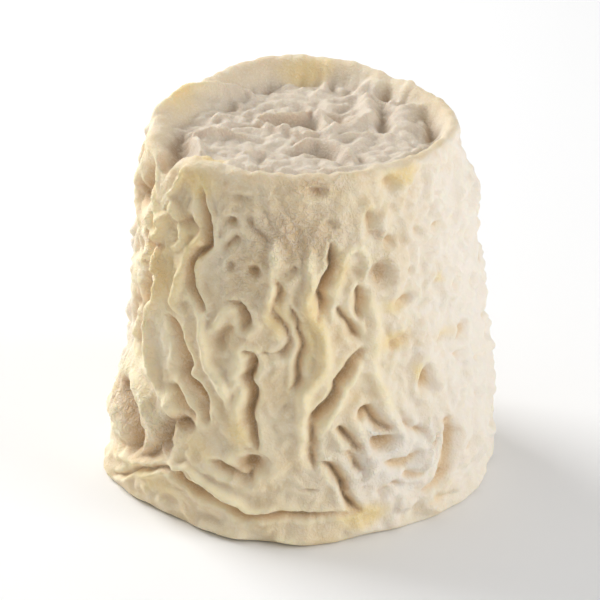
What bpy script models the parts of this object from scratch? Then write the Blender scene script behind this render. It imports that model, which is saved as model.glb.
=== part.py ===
"""A small ripened goat's cheese of the tall, tapered bonde shape, standing on its wider end.

The soft paste has shrunk under its skin, so the rind is folded: long furrows run down the
front and the left, the right is dimpled, the foot is pressed out into a flat skirt, and the
top has sunk into a rough dish inside a raised, broken rim. It is one solid of one piece.

Lengths are millimetres until the mesh is made, azimuths are degrees, 0 at the front (-Y) and
positive towards +X. The origin is the middle of the base, +Z up.
"""

import math
import random

import bmesh
import bpy
import numpy as np
from mathutils import Vector, noise

MM = 0.001

# Driving dimensions
HEIGHT = 59.5
BASE_RADIUS = 29.6
TOE_ROUNDING = 0.8
PLAIN_TOE = 1.6
EDGE_ROUNDING = 1.4
FOOT_HEIGHT = 6.5
SHOULDER_HEIGHT = 17.0
RIM_WIDTH = 1.5
FLOOR_HEIGHT = 57.5
FLOOR_FALL_TO_BACK = 0.035

# The flat that the cheese stands on touches the table at this many corners, and its edge is drawn in
# by this share between them
CORNERS = 10
DRAWN_IN = 0.045

# How often each point is evened out with its neighbours
SMOOTHING = 2

# The mesh before it is thinned: its spacing, its rows round the toe and the edge, how close its points
# may lie on the top as a share of the spacing, and the most triangles of the finished solid
SPACING = 0.75
TOE_STEPS = 4
EDGE_STEPS = 7
CLOSEST = 0.55
SAME_PLACE = 1e-4
MOST_TRIANGLES = 11400

# Furrows and folds: how much of each end tapers off, how sharp each kind is, the share and width of the
# soft shoulder beside the crease itself, how high and wide the lips beside a furrow are, how deep the pits
# are for their drawn depth and how high their rims, how sharply two of them join, and how far and how
# often they wobble
END_TAPER = 0.2
FURROW_SHARPNESS = 0.6
FURROW_SHOULDER = 0.25
FOLD_SHARPNESS = 1.3
FOLD_SHOULDER = 0.2
SHOULDER_WIDTH = 2.4
LIP = 0.36
LIP_WIDTH = 2.9
PIT_STRENGTH = 1.3
PIT_RIM = 0.3
JOINING = 3
WOBBLE = 0.55
WOBBLE_SIZE = 3.4

# Rounded swellings of the skin, large and small, their size and height, and how far they are drawn out
# upwards. Between these azimuths the named furrows calm the large ones by this share, fading over this
# far, and the small ones by this part of it. All have faded this far below the rim
BILLOW_SIZE = 4.4
BILLOWS = 0.65
BILLOW_STRETCH = 1.3
BILLOW_RISE = 2.4
BILLOW_LEVEL = 0.45
SMALL_BILLOW_SIZE = 2.0
SMALL_BILLOWS = 0.36
SMALL_BILLOW_STRETCH = 1.1
CALM_SPAN = (-82, 20)
CALM = 0.5
CALM_FADE = 20
SMALL_CALM = 0.4
RIM_CALM = 3.0

# Fine unevenness of the skin of the side, lumps of the foot and how high they reach, size and height of
# the lumps and of the curds of the top, their share on its edge and on the front of the edge, which ends
# at this azimuth and fades over this far, and the share of the ridges of the top on its edge
UNEVENNESS_SIZE = 3.1
UNEVENNESS = 0.3
FOOT_LUMP_SIZE = 4.2
FOOT_LUMPS = 1.5
FOOT_LUMP_REACH = 8.0
LUMP_SIZE = 2.6
LUMPS = 0.8
CURD_SIZE = 1.9
CURDS = 0.5
EDGE_LUMPS = 0.4
FRONT_EDGE_LUMPS = 0.8
FRONT_EDGE = 60
FRONT_EDGE_FADE = 30
EDGE_RIDGES = 0.6

# Degrees of azimuth are measured along a circle of this radius
GIRTH_RADIUS = 28.0
ARC = math.radians(1.0) * GIRTH_RADIUS

# The named furrows, folds and pits are placed as they show from the front, this far above the level, on
# a body wider by this much. What lies deeper shows nearer the middle and higher, evenly from the first of
# these azimuths on, and no more from the second on, before which it fades over this far
SEEN_FROM = math.radians(25)
SEEN_OUTSIDE = 0.7
SEEN_TO = 58
SEEN_END = 100
SEEN_FADE = 25

# The tapered body: height and radius
TAPER = ((0, 29.6), (12, 28.6), (20, 27.8), (30, 26.9), (40, 26.0), (50, 25.1), (60, 24.4))

# Outline of the foot and of the rim: azimuth and radius
FOOT_OUTLINE = (
    (-180, 30.4), (-150, 30.8), (-120, 30.4), (-98, 31.0), (-78, 31.3), (-66, 30.1), (-53, 28.9),
    (-40, 28.5), (-31, 29.1), (-21, 29.9), (-9, 29.3), (1, 30.1), (9, 29.8), (22, 28.5), (35, 28.8),
    (50, 29.7), (60, 30.2), (78, 30.2), (105, 31.0), (140, 30.2),
)
RIM_OUTLINE = (
    (-180, 24.4), (-167, 24.7), (-157, 23.6), (-143, 22.3), (-125, 21.2), (-108, 21.6), (-90, 23.0),
    (-70, 24.0), (-30, 24.6), (0, 24.7), (40, 24.8), (80, 25.0), (97, 24.0), (120, 22.9), (140, 22.7),
    (160, 23.6),
)

# Swellings and hollows of the whole body: azimuth, height, half width, half height, rise
SWELLINGS = {
    "lobe low on the left": (-80, 12, 19, 6.0, 1.6),
    "waist on the left": (-80, 25, 26, 9, -1.6),
    "upper waist on the left": (-84, 42, 22, 6, -0.8),
    "shoulder on the left": (-80, 52, 16, 4, 1.2),
    "shoulder on the right": (84, 50.5, 26, 5.5, 2.7),
    "belly on the right": (82, 17, 32, 13, 2.3),
    "upper bulge on the right": (85, 38, 30, 9, 1.3),
    "belly at the back": (175, 16, 40, 14, 1.4),
    "shoulder at the back": (-150, 44, 30, 10, 0.7),
}

# Height of the rim round the top
RIM_HEIGHTS = (
    (-180, 60.2), (-160, 60.1), (-140, 59.8), (-122, 59.5), (-105, 59.2), (-78, 59.2), (-64, 58.4),
    (-56, 56.5), (-50, 58.4), (-42, 59.6), (-20, 59.5), (0, 59.2), (25, 59.4), (55, 59.5), (90, 59.7),
    (130, 59.4), (160, 60.1),
)

# How far the dish slopes down inside the rim
DISH_SLOPES = (
    (-180, 3.4), (-150, 5.0), (-110, 6.5), (-80, 4.0), (-40, 1.5), (0, 1.5), (50, 1.5), (90, 2.4),
    (140, 4.0),
)

# Furrows of the side: half width, depth, lean, and where each runs as (azimuth, height)
FURROWS = {
    "foot crease": (0.42, 2.3, 0.0, (
        (-66, 4.0), (-60, 5.2), (-50, 8.4), (-44, 10.0), (-38, 11.2), (-34, 10.0), (-31, 9.1), (-24, 8.2),
        (-20, 7.5), (-15, 6.2), (-10, 6.5), (-5, 6.9), (0, 6.6), (4, 6.5), (10, 6.8), (16, 6.3),
    )),
    "front crack": (0.48, 2.7, -0.35, (
        (-31.5, 58), (-30, 55.5), (-28.3, 53), (-27.8, 51), (-28.5, 49), (-31, 47.3), (-32.6, 45.8),
        (-32.6, 43.5), (-31.3, 41.3), (-29.6, 39.8), (-28.6, 38.4),
    )),
    "arch": (0.54, 2.1, -0.2, ((-22.3, 40.2), (-18.2, 39.9), (-16, 38.9), (-15.6, 37.4), (-17.2, 36.3))),
    "under the arch": (0.6, 1.4, 0.0, ((-20.5, 35.8), (-23, 35.4), (-24.6, 33.6), (-23.4, 32.4))),
    "round the boot": (0.5, 1.8, 0.0, (
        (-7.6, 46.3), (-7.2, 44.5), (-6, 43), (-6.8, 41.3), (-7.7, 39.8), (-7.8, 38.6), (-5.8, 37.3),
        (-4, 35.8), (-3.2, 34.2), (-4.6, 33), (-8, 32.6), (-13, 32.9),
    )),
    "heel": (0.52, 2.6, -0.35, (
        (-16.5, 33), (-13.2, 32.8), (-12.2, 31.4), (-13.2, 29.6), (-14.6, 28.6), (-13, 27.2),
        (-12.8, 25), (-13.6, 22.6), (-13.2, 20.5), (-12.2, 18.6), (-12, 17),
    )),
    "under the heel": (0.6, 1.3, 0.0, ((-16.2, 16.6), (-13, 16.2), (-10, 15.6), (-8.4, 15))),
    "upper heel stub": (0.5, 1.3, 0.0, ((-18, 28.3), (-16, 28.2), (-13.6, 28.8))),
    "lower heel stub": (0.5, 1.2, 0.0, ((-16.8, 21.2), (-15.2, 20.9), (-13.4, 20.6))),
    "ankle": (0.58, 2.1, 0.0, ((-26, 13.9), (-21.5, 13.3), (-17, 12.5), (-14, 12.2), (-11.8, 13.6))),
    "hairline": (0.46, 1.9, 0.0, (
        (-3, 41), (-1.6, 38.5), (-1.3, 36.5), (0.4, 34.5), (0, 32), (0, 30), (-0.5, 28), (-2.5, 27),
    )),
    "zigzag": (0.56, 2.4, 0.3, (
        (9, 50.5), (9.3, 48), (9.5, 46.5), (7, 44.5), (5.2, 42.5), (5.8, 41), (4.6, 38.5),
    )),
    "long diagonal": (0.5, 2.5, 0.0, (
        (18.5, 33.5), (15, 31), (11, 28.5), (10.5, 27), (8.5, 25.5), (4, 23), (2.2, 22),
    )),
    "ribbon edge": (0.52, 1.7, 0.0, ((2.6, 23.5), (3, 20), (2.8, 17), (3, 14))),
    "upper diagonal": (0.52, 1.8, 0.0, ((11.5, 40), (13, 38), (15.5, 36), (18, 34.2))),
    "inner arch": (0.6, 0.9, 0.0, ((14, 43.4), (16.5, 45.2), (19, 44))),
    "beside the arch": (0.55, 1.8, 0.0, ((18.2, 42.8), (17.8, 40.5), (17.5, 38))),
    "under the arm": (0.6, 2.2, 0.0, ((16.6, 21.8), (18.3, 23.2), (20, 22.6), (22.5, 20.8), (26, 19))),
    "short crease": (0.52, 1.9, 0.0, ((11, 20.8), (13.5, 19.4), (15, 17.5), (17, 16.2))),
    "second short crease": (0.52, 1.6, 0.0, ((12.8, 16.6), (15, 15.2), (17.2, 13.2))),
    "corner of the foot": (0.52, 2.3, 0.2, (
        (5, 15.5), (8, 14.5), (10, 12.5), (12, 11), (12.3, 9.5), (13.5, 7.5), (16, 6.5),
    )),
    "left hand": (0.62, 2.7, -0.35, (
        (-41, 36.5), (-37.5, 35), (-35.2, 32.5), (-33.5, 29.5), (-32.8, 27.6), (-29.8, 25.8), (-27, 24),
        (-25.6, 22), (-25.3, 20.5),
    )),
    "left cuff": (0.52, 1.8, 0.0, ((-42, 24), (-38, 23.6), (-35.5, 22.2), (-33, 20.8), (-30.8, 20))),
    "left wrist": (0.95, 2.5, 0.0, (
        (-30.5, 19.2), (-34, 19.2), (-37.5, 18.6), (-39.2, 16.4), (-41, 14), (-44, 12.4), (-50, 10.4),
    )),
    "notch": (1.5, 3.3, 0.0, ((-51, 60), (-54, 57.5), (-57, 55), (-60, 53), (-66, 53.8))),
    "notch floor": (1.7, 1.6, 0.0, ((-54, 54.5), (-60, 56.5), (-67, 55.5))),
    "left hollow": (0.9, 2.1, 0.0, ((-56, 47.3), (-51, 46.8), (-47, 46.7))),
    "left eye": (0.6, 1.3, 0.0, ((-55, 51.2), (-52.3, 50.6), (-50.3, 49.2))),
    "far left hollow": (1.1, 2.0, 0.0, ((-73, 50.5), (-66, 49.3), (-60, 48.2))),
    "left slot": (0.7, 1.5, 0.0, ((-58.5, 42.6), (-55, 42), (-52, 41))),
    "far left slot": (1.2, 1.6, 0.0, ((-78, 41.5), (-72, 41.5), (-67.5, 40.8))),
    "small far left slot": (0.8, 1.3, 0.0, ((-66, 43.5), (-63, 42.3), (-61.5, 41))),
    "left valley": (1.25, 3.1, 0.2, (
        (-48.5, 42.5), (-50, 39.5), (-52, 36.5), (-54.5, 33.5), (-57, 30.5), (-55.5, 28), (-51, 26.5),
    )),
    "far left valley": (1.4, 2.8, 0.0, ((-59.5, 36.5), (-63, 35), (-67, 33.5), (-74, 32))),
    "left foot valley": (1.3, 3.6, 0.0, (
        (-65, 20.3), (-60, 19.8), (-54, 18.3), (-49.5, 16.6), (-47.5, 14.3), (-49, 12.5),
    )),
    "hem crease": (0.5, 1.2, 0.0, ((-66, 16), (-61, 15), (-57.5, 13.8))),
    "lobe crease": (0.9, 1.9, 0.0, ((-80, 13), (-75, 13.5), (-71, 13.4))),
    "under the hem": (0.9, 1.7, 0.0, ((-64, 9.6), (-59, 10.6), (-55, 11.2), (-53, 10.4))),
    "tongue": (0.55, 1.5, 0.0, ((25.5, 13.4), (29, 12.7), (33, 13), (36, 14.2))),
    "tongue edge": (0.5, 1.3, 0.0, ((30, 11), (34.5, 10.6), (38, 11.4), (39.7, 14.5), (44, 16))),
    "lower tongue": (0.5, 1.1, 0.0, ((22.5, 8.6), (26, 9.3), (30, 9.5))),
    "right thread": (0.5, 1.2, 0.0, ((29.5, 21.3), (33, 18.4), (39, 16.6))),
    "right upright": (0.8, 1.7, -0.3, ((46, 18), (46.6, 14.5), (46, 11.5), (44, 8.3), (36, 7.3))),
    "right foot crease": (0.55, 0.8, 0.0, ((39.5, 4.2), (46, 4.2), (52, 3.7))),
    "right shelf": (0.6, 1.2, 0.3, ((26.5, 30.4), (30.5, 32.2), (36, 33.1))),
    "upper right shelf": (0.5, 1.1, 0.3, ((29.5, 38.3), (33, 38.8), (37, 38.6))),
    "top right run": (0.6, 1.3, 0.0, ((22.2, 54.6), (23.2, 52.7), (22.8, 50.8), (26, 50.4))),
    "brow": (0.55, 1.2, 0.0, ((-25.8, 47.8), (-23.5, 48.7), (-21.5, 49.3), (-19.2, 49.6))),
    "upper brow": (0.55, 1.1, 0.0, ((-16.8, 54), (-15.2, 51.9), (-10, 49.8))),
    "patch edge": (0.5, 1.2, 0.0, ((-7.5, 45), (-4, 45.5), (0, 46))),
    "under the cheek": (0.6, 1.2, 0.0, ((-43.5, 51), (-39, 51), (-35, 50.2), (-34.5, 49.2), (-38, 48.4))),
}

# Raised folds of the side: half width, height, lean, and where each runs
FOLDS = {
    "left ribbon": (1.15, 2.4, 0.0, (
        (-77, 54), (-71, 53.5), (-66, 51.5), (-61, 49.7), (-57.3, 48.3), (-57.5, 47.2), (-60.5, 45.2),
        (-62.4, 43.8), (-60.8, 41.5), (-58.2, 39.8), (-57, 38), (-57.6, 35.8), (-60.5, 33.8),
        (-63.8, 31.6), (-64.5, 29.5), (-64, 27), (-62, 23.6), (-58.5, 22), (-55.5, 20), (-50, 19.4),
    )),
    "left hem": (1.2, 2.5, 0.0, (
        (-76, 18.4), (-68, 17.8), (-62, 16.9), (-57.5, 15), (-54, 12.8), (-51.8, 10.8), (-49, 10.1),
    )),
    "far left branch": (1.0, 1.8, 0.0, ((-84, 46.5), (-75, 46.8), (-68, 47), (-60.5, 45.3))),
    "far left loop": (1.0, 1.8, 0.0, (
        (-70.5, 44.4), (-67.3, 43), (-65.6, 41), (-68, 39.5), (-73, 38.2), (-80, 36),
    )),
    "notch edge": (0.5, 1.6, 0.0, ((-54, 53), (-51, 54), (-48.8, 55.6), (-46.3, 57), (-47.5, 58))),
    "notch sill": (0.5, 0.9, 0.0, ((-57.5, 50), (-54.5, 51.8), (-51.5, 53.3))),
    "left hook": (0.9, 1.9, 0.0, (
        (-52, 52.4), (-50, 50.3), (-46.8, 48.2), (-45, 46.4), (-47, 45.1), (-51, 44.2),
    )),
    "left thread": (0.5, 1.0, 0.0, ((-60, 43.6), (-55, 43.3), (-51.3, 42.2), (-50.6, 41.4), (-52.8, 40))),
    "left palm": (1.3, 2.0, 0.0, (
        (-33.5, 49), (-37, 46.8), (-42, 44), (-44.6, 41), (-47, 37.8), (-47, 35.6), (-43, 34.5),
    )),
    "left knuckles": (1.05, 1.8, -0.2, (
        (-42, 38), (-36.8, 36.8), (-34, 33.6), (-32.4, 30.4), (-31.4, 28), (-27, 25.8), (-24.3, 23.6),
        (-23.6, 21.3),
    )),
    "left back": (1.3, 0.9, 0.0, ((-43, 34.6), (-40, 31.5), (-38, 27.5), (-34, 24.3))),
    "left cuff edge": (0.8, 1.4, 0.0, ((-41, 24.8), (-36, 22.9), (-31, 21), (-29.4, 19.2))),
    "left upright": (1.3, 2.2, 0.0, ((-50, 19.8), (-46, 18), (-45, 15.5), (-46, 13))),
    "sole edge": (0.7, 0.9, 0.0, ((-38.5, 13.3), (-35, 11.8), (-31, 10.6), (-26, 10.1), (-20, 9.4))),
    "thumb": (1.0, 1.2, 0.0, ((-29.8, 33.2), (-25.5, 37), (-20, 38.3))),
    "boot shaft": (0.9, 1.5, 0.3, ((-8.5, 49.2), (-9.3, 46), (-9, 42.6), (-9.8, 39.5), (-8.6, 36.8))),
    "boot toe": (0.9, 0.9, 0.0, ((-7.5, 36.2), (-5.2, 34.6), (-9, 34.2))),
    "middle ribbon": (1.1, 1.9, 0.2, (
        (3.5, 47.5), (3.4, 42.5), (2.6, 38.8), (7, 34.6), (8, 31), (6, 27.4), (1.2, 24.6), (0.8, 20),
        (1.2, 14),
    )),
    "arm": (0.95, 1.8, 0.0, ((22.3, 31), (18.7, 28.3), (15.3, 26), (12, 23.4), (8, 20.4), (5.2, 18))),
    "heel pad": (1.7, 1.3, 0.0, ((-18.5, 32), (-20, 27), (-18.6, 21), (-19.2, 16))),
    "right knee": (1.1, 1.4, 0.0, ((18.2, 20.3), (19.3, 16.3), (24.3, 12.8), (20.5, 10))),
    "small knee": (0.8, 1.1, 0.0, ((10.8, 19.3), (14, 15.8), (17, 12.8))),
    "right shin": (1.2, 1.3, 0.0, ((23.5, 40), (25.8, 35), (24, 29), (28, 22.5), (32, 16.5))),
    "right elbow": (0.8, 1.3, 0.0, ((10.8, 42.6), (14.2, 46.3), (20, 47.8), (23.5, 45.3), (23, 42.5))),
    "finger": (0.7, 1.6, 0.3, ((44.6, 17.5), (44.6, 14), (43.6, 10.8), (40.5, 8.9), (33, 8.2))),
    "foot top": (0.58, 1.9, 0.0, (
        (-62, 3.6), (-55, 5.8), (-48, 7.8), (-42, 9.4), (-37, 9.9), (-32, 8.1), (-25, 7.1), (-20, 6.3),
        (-15, 5.1), (-8, 5.4), (0, 5.4),
    )),
    "foot ledge": (0.8, 0.7, 0.0, ((0, 5.4), (8, 5.6), (16, 5.0), (24, 5.2))),
    "lower lobe": (0.8, 1.5, 0.0, ((-78, 3.5), (-68, 5.8), (-58, 7.2), (-52, 8.2))),
    "nib": (0.8, 1.3, 0.0, ((-7.2, 1.3), (-4.5, 1.0), (-1.5, 1.5))),
}

# Pits of the side: azimuth, height, half width, half height, depth
PITS = (
    (-23, 52.6, 1.0, 0.7, 1.0), (-22.2, 45.4, 0.7, 0.7, 0.8), (-14.6, 45.3, 1.0, 0.8, 1.1),
    (-21, 56.5, 1.5, 0.6, 0.6), (-17.8, 38, 1.0, 1.2, 0.9), (-22.9, 34.1, 0.8, 0.9, 0.8),
    (-12.8, 14.8, 1.6, 1.3, 2.2), (-39, 50.8, 1.9, 0.7, 0.6), (7, 41.7, 0.9, 1.4, 0.6),
    (18, 31, 1.3, 1.2, 0.8), (25.6, 44.4, 1.3, 1.7, 1.5), (29.4, 49.1, 0.8, 0.8, 1.0),
    (5, 58.2, 1.5, 0.9, 0.9), (10, 52.6, 0.9, 0.7, 0.6), (30, 57.8, 1.2, 1.3, 0.8),
    (24.2, 52.6, 0.9, 1.2, 0.7), (23.5, 17.3, 1.6, 1.0, 1.8), (29.5, 13.1, 1.6, 0.5, 0.7),
    (38.8, 26, 1.0, 1.6, 1.5), (46.5, 25.2, 1.0, 0.8, 0.6), (52.5, 39.3, 1.0, 1.0, 1.2),
    (56, 30.6, 1.3, 1.1, 1.1), (55, 26.8, 1.1, 0.6, 0.6), (54, 20.4, 0.9, 0.6, 0.5),
    (40.3, 49, 0.9, 0.7, 0.7), (49.3, 48.9, 1.1, 0.7, 0.7), (58, 48.7, 1.1, 0.7, 0.6),
    (38, 43.3, 0.6, 0.5, 0.7), (46.5, 44.7, 0.8, 0.4, 0.6), (67, 44.6, 1.4, 0.9, 0.7),
    (59, 10.5, 1.3, 1.0, 0.6), (66, 23.6, 1.6, 0.8, 0.7), (-75, 13, 1.7, 0.9, 0.8),
    (18.3, 9.2, 0.7, 0.5, 0.5), (2.5, 10, 1.6, 0.35, 0.5), (32, 32, 1.6, 0.8, 0.5),
    (46.5, 39.4, 0.9, 0.9, 0.5), (38.5, 53, 0.9, 1.1, 0.5), (48, 30, 1.5, 0.8, 0.5),
    (44, 57.5, 1.6, 0.9, 0.4), (57, 45.3, 0.9, 0.5, 0.4), (74, 49.5, 1.3, 0.8, 0.5),
    (70, 36, 1.2, 0.9, 0.5), (63, 18, 1.2, 0.8, 0.4), (-8.3, 40.6, 0.5, 0.6, 0.4),
    (-28, 3.4, 1.8, 0.8, 0.5), (-42, 4.4, 2.0, 0.9, 0.6), (-52, 3.2, 1.6, 0.8, 0.5),
)

# Ridges of the top, in plan: half width, height, and where each runs as (x, y)
TOP_RIDGES = {
    "front lip": (1.0, 1.0, (
        (-18.5, -13.5), (-14, -15.5), (-9, -18.6), (0, -20.8), (7, -20.2), (13, -17), (18, -11.5),
    )),
    "forked ridge": (1.2, 1.6, (
        (1, -4.6), (4.5, -4.6), (7, -1.6), (10, 0.2), (11, 4), (10.4, 9), (11, 11.3), (14.5, 9.3),
    )),
    "right lump": (1.7, 1.2, ((16.5, -5), (15.3, 1), (16.8, 6.2), (19.3, 5.5))),
    "terrace edge": (0.75, 2.0, ((-7, 2), (-2, 1.8), (1.5, 3.6), (3.2, 1.5), (4.5, -2.5))),
    "flow line": (0.6, 1.5, ((-7, 1.8), (-4.5, -1.5), (-1.5, -4), (0.3, -5.6))),
    "middle lobe": (0.8, 1.7, ((-1, -9.5), (2.5, -8.7), (5.2, -11), (8.5, -15.5))),
    "left lobe edge": (0.7, 1.8, ((-8, -5.5), (-12, -5.2), (-16.2, -5.2), (-15.7, -9.5), (-14.5, -13.5))),
    "left lumps": (1.2, 1.1, ((-12.5, 3.5), (-11.5, 0), (-11.8, -3.2))),
    "back spur": (0.8, 0.8, ((3.6, 13), (4, 17), (4.2, 21))),
    "back right spur": (0.8, 1.0, ((15.5, 10), (17.5, 13), (19, 16.5))),
    "back right lump": (1.4, 1.3, ((9.5, 13.5), (11, 15.2), (12.5, 13))),
    "left inner fold": (1.2, 2.4, (
        (-23.2, 0.5), (-20.9, 5.1), (-18, 9), (-14.8, 11.2), (-11.1, 12.6), (-8.2, 13.4),
    )),
    "right terrace": (0.7, 0.8, ((4, -7), (8.5, -4.5), (12.5, -4.8), (17, -8.8))),
    "front pleat": (0.6, 0.7, ((-11.5, -11.5), (-8.5, -13), (-4.5, -11.5))),
}

# Creases of the top, in plan: half width, depth, and where each runs
TOP_CREASES = {
    "left trough": (0.9, 1.2, ((-22.4, 6.2), (-19.4, 10.6), (-16, 13.4), (-12, 15), (-7.5, 16.6))),
    "behind the fork": (0.8, 1.2, ((12.4, 1), (13, 5), (12.6, 8.5))),
    "before the fork": (0.7, 1.6, ((-1, 2.8), (2, 5.4), (5.5, 5.2), (8.2, 3))),
    "under the terrace": (0.6, 1.4, ((-9, 0.4), (-5, 0), (-1, 1.6), (1.6, 0.4), (3, -3))),
    "round the lobe": (0.6, 1.3, ((-2.6, -11), (1.5, -10.6), (4.4, -12.6), (7, -16.6))),
    "inside the right rim": (0.9, 0.9, ((21, -7), (21.3, -2), (20.2, 4), (18.4, 9.5))),
    "inside the back rim": (0.8, 0.7, ((14.5, 14.8), (10, 17.8), (3, 19.3), (-4, 18.9))),
    "inside the left rim": (0.9, 0.9, ((-19.3, -13), (-20.6, -8), (-20, -2.5), (-17.2, 3), (-14, 6.8))),
}

# Hollows of the top, in plan: x, y, half width, half depth, depth
TOP_HOLLOWS = (
    (-18.6, -9.0, 1.9, 5.0, 2.6), (-17.5, 1.0, 1.6, 3.4, 1.0), (0.3, 6.0, 1.8, 3.0, 1.3),
    (7.0, 3.0, 1.6, 3.4, 1.2), (13.0, -0.5, 1.0, 3.6, 1.2), (20.3, -1.5, 1.0, 5.6, 2.0),
    (13.8, 13.0, 1.3, 3.0, 1.3), (-5.2, 17.5, 1.5, 2.2, 1.1), (6.6, 7.2, 1.2, 1.5, 0.6),
    (-13.5, -4.0, 1.2, 0.7, 0.8), (9.0, -13.0, 1.0, 2.4, 0.6), (0.4, 20.2, 1.0, 1.2, 0.8),
    (-4.0, -14.0, 0.9, 2.5, 0.4), (2.2, -13.0, 1.2, 2.0, 0.4), (-6.3, -14.0, 0.8, 1.6, 0.4),
    (-11.0, 8.0, 1.4, 3.0, 0.6), (5.3, 17.5, 0.8, 2.4, 0.9), (9.7, 18.6, 0.9, 2.0, 0.8),
)

# The unseen half is wrinkled and dimpled by the same skin: a seed, the azimuths that it spans, how far
# apart its furrows run and how far aside each may start, their tops, their foot and the least height to
# start a new one above it, the gaps in them, the share of a furrow's depth that a fold stands out, and
# the number of pits
BACK_SEED = 11
BACK_SPAN = (96, 278)
BACK_PITCH = 7.5
BACK_ASIDE = 2.0
BACK_FURROW_TOP = (51, 58)
BACK_FURROW_FOOT = 10
BACK_SHORTEST = 4
BACK_GAP = (1.5, 4.5)
BACK_FOLD_SHARE = 0.55
BACK_PITS = 60

RIND_COLOUR = (0.80, 0.70, 0.52, 1.0)


def smooth(t):
    """0 below 0, 1 above 1, and an even curve between."""
    t = np.clip(t, 0.0, 1.0)
    return t * t * (3 - 2 * t)


def round_azimuth(az, table):
    """The value of a table of (azimuth, value) at each azimuth, running on past the back."""
    at, value = np.array(table, float).T
    at = np.concatenate([at - 360, at, at + 360])
    value = np.tile(value, 3)
    low = np.clip(np.searchsorted(at, az) - 1, 0, len(at) - 2)
    share = smooth((az - at[low]) / (at[low + 1] - at[low]))
    return value[low] * (1 - share) + value[low + 1] * share


def apart(az, centre):
    """Azimuth from a centre, the short way round."""
    return (az - centre + 180) % 360 - 180


def body_radius(az, height):
    radius = np.interp(height, *np.array(TAPER, float).T)
    for centre, level, half_width, half_height, rise in SWELLINGS.values():
        near = np.exp(-((apart(az, centre) / half_width) ** 2) - ((height - level) / half_height) ** 2)
        radius = radius + rise * near
    at_foot = smooth(1 - height / FOOT_HEIGHT)
    at_rim = smooth((height - HEIGHT) / SHOULDER_HEIGHT + 1)
    radius = radius + (round_azimuth(az, FOOT_OUTLINE) - radius) * at_foot
    return radius + (round_azimuth(az, RIM_OUTLINE) - radius) * at_rim


def curve_through(points, steps=10):
    """An even curve through the points, as many rows of (across, up)."""
    p = np.array(points, float)
    p = np.vstack([2 * p[0] - p[1], p, 2 * p[-1] - p[-2]])
    t = np.linspace(0, 1, steps, endpoint=False)[:, None]
    rows = []
    for a, b, c, d in zip(p, p[1:], p[2:], p[3:]):
        bend = (2 * a - 5 * b + 4 * c - d) * t**2 + (3 * b - a - 3 * c + d) * t**3
        rows.append(0.5 * (2 * b + (c - a) * t + bend))
    return np.vstack([*rows, p[-2:-1]])


def along_route(across, up, route, half_width, sharpness, shoulder, lean=0.0):
    """How strongly a route shapes each point, 1 on it and 0 away from it, and the lips beside it.

    Both taper to its ends. A positive lean makes the slope gentler on the left of the way it runs.
    """
    line = curve_through(route)
    reach = 5.0 * half_width
    low, high = line.min(0) - reach, line.max(0) + reach
    near = np.flatnonzero((across > low[0]) & (across < high[0]) & (up > low[1]) & (up < high[1]))
    strength, lips = np.zeros(len(across)), np.zeros(len(across))
    if not len(near):
        return strength, lips
    share = np.linspace(0, 1, len(line))
    taper = np.sqrt(np.clip(np.minimum(share, 1 - share) / END_TAPER, 0, 1))
    way = np.gradient(line, axis=0)
    way /= np.hypot(*way.T)[:, None]
    right = across[near, None] - line[:, 0]
    above = up[near, None] - line[:, 1]
    side = np.tanh((way[:, 0] * above - way[:, 1] * right) / (0.5 * half_width))
    width = half_width * (0.55 + 0.45 * taper) * (1 + lean * side)
    spread = (right**2 + above**2) / width**2
    profile = (1 - shoulder) * np.exp(-(spread**sharpness)) + shoulder * np.exp(-spread / SHOULDER_WIDTH**2)
    strength[near] = (profile * (0.35 + 0.65 * taper)).max(1)
    beside = (np.exp(-spread / LIP_WIDTH**2) * (0.35 + 0.65 * taper)).max(1)
    lips[near] = 4 * beside * (1 - beside)
    return strength, lips


def furrow(across, up, route, half_width, lean=0.0):
    return along_route(across, up, route, half_width, FURROW_SHARPNESS, FURROW_SHOULDER, lean)


def fold(across, up, route, half_width, lean=0.0):
    return along_route(across, up, route, half_width, FOLD_SHARPNESS, FOLD_SHOULDER, lean)[0]


def joined(strengths):
    """Several reliefs as one, without a crease where they meet."""
    return sum(strength**JOINING for strength in strengths) ** (1 / JOINING)


def in_arc(route):
    """A route of (azimuth, height) with its azimuths as lengths round the girth."""
    return [(az * ARC, height) for az, height in route]


def back_lines(seed, aside=0.0):
    """Lines that wander down the unseen half with breaks in them, drawn from a fixed seed."""
    draw = random.Random(seed)
    for az in np.arange(*BACK_SPAN, BACK_PITCH) + aside:
        height = draw.uniform(*BACK_FURROW_TOP)
        az = az + draw.uniform(-BACK_ASIDE, BACK_ASIDE)
        while height > BACK_FURROW_FOOT + BACK_SHORTEST:
            route = [(az, height)]
            for _ in range(draw.randint(2, 5)):
                az = az + draw.uniform(-4.2, 4.2)
                height = max(height - draw.uniform(2.4, 4.6), BACK_FURROW_FOOT)
                route.append((az, height))
            yield draw.uniform(0.6, 1.05), draw.uniform(1.1, 2.3), draw.uniform(-0.4, 0.4), route
            height = height - draw.uniform(*BACK_GAP)
            az = az + draw.uniform(-2.5, 2.5)
    around = [(az, 6.8 + draw.uniform(-1.6, 1.8)) for az in np.arange(88, 300, 11)]
    yield 0.7, 1.6, 0.0, around


def back_pits():
    draw = random.Random(BACK_SEED + 1)
    for _ in range(BACK_PITS):
        yield (
            draw.uniform(72, 276), draw.uniform(10, 58),
            draw.uniform(0.7, 1.6), draw.uniform(0.6, 1.3), draw.uniform(0.4, 1.2),
        )


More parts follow.
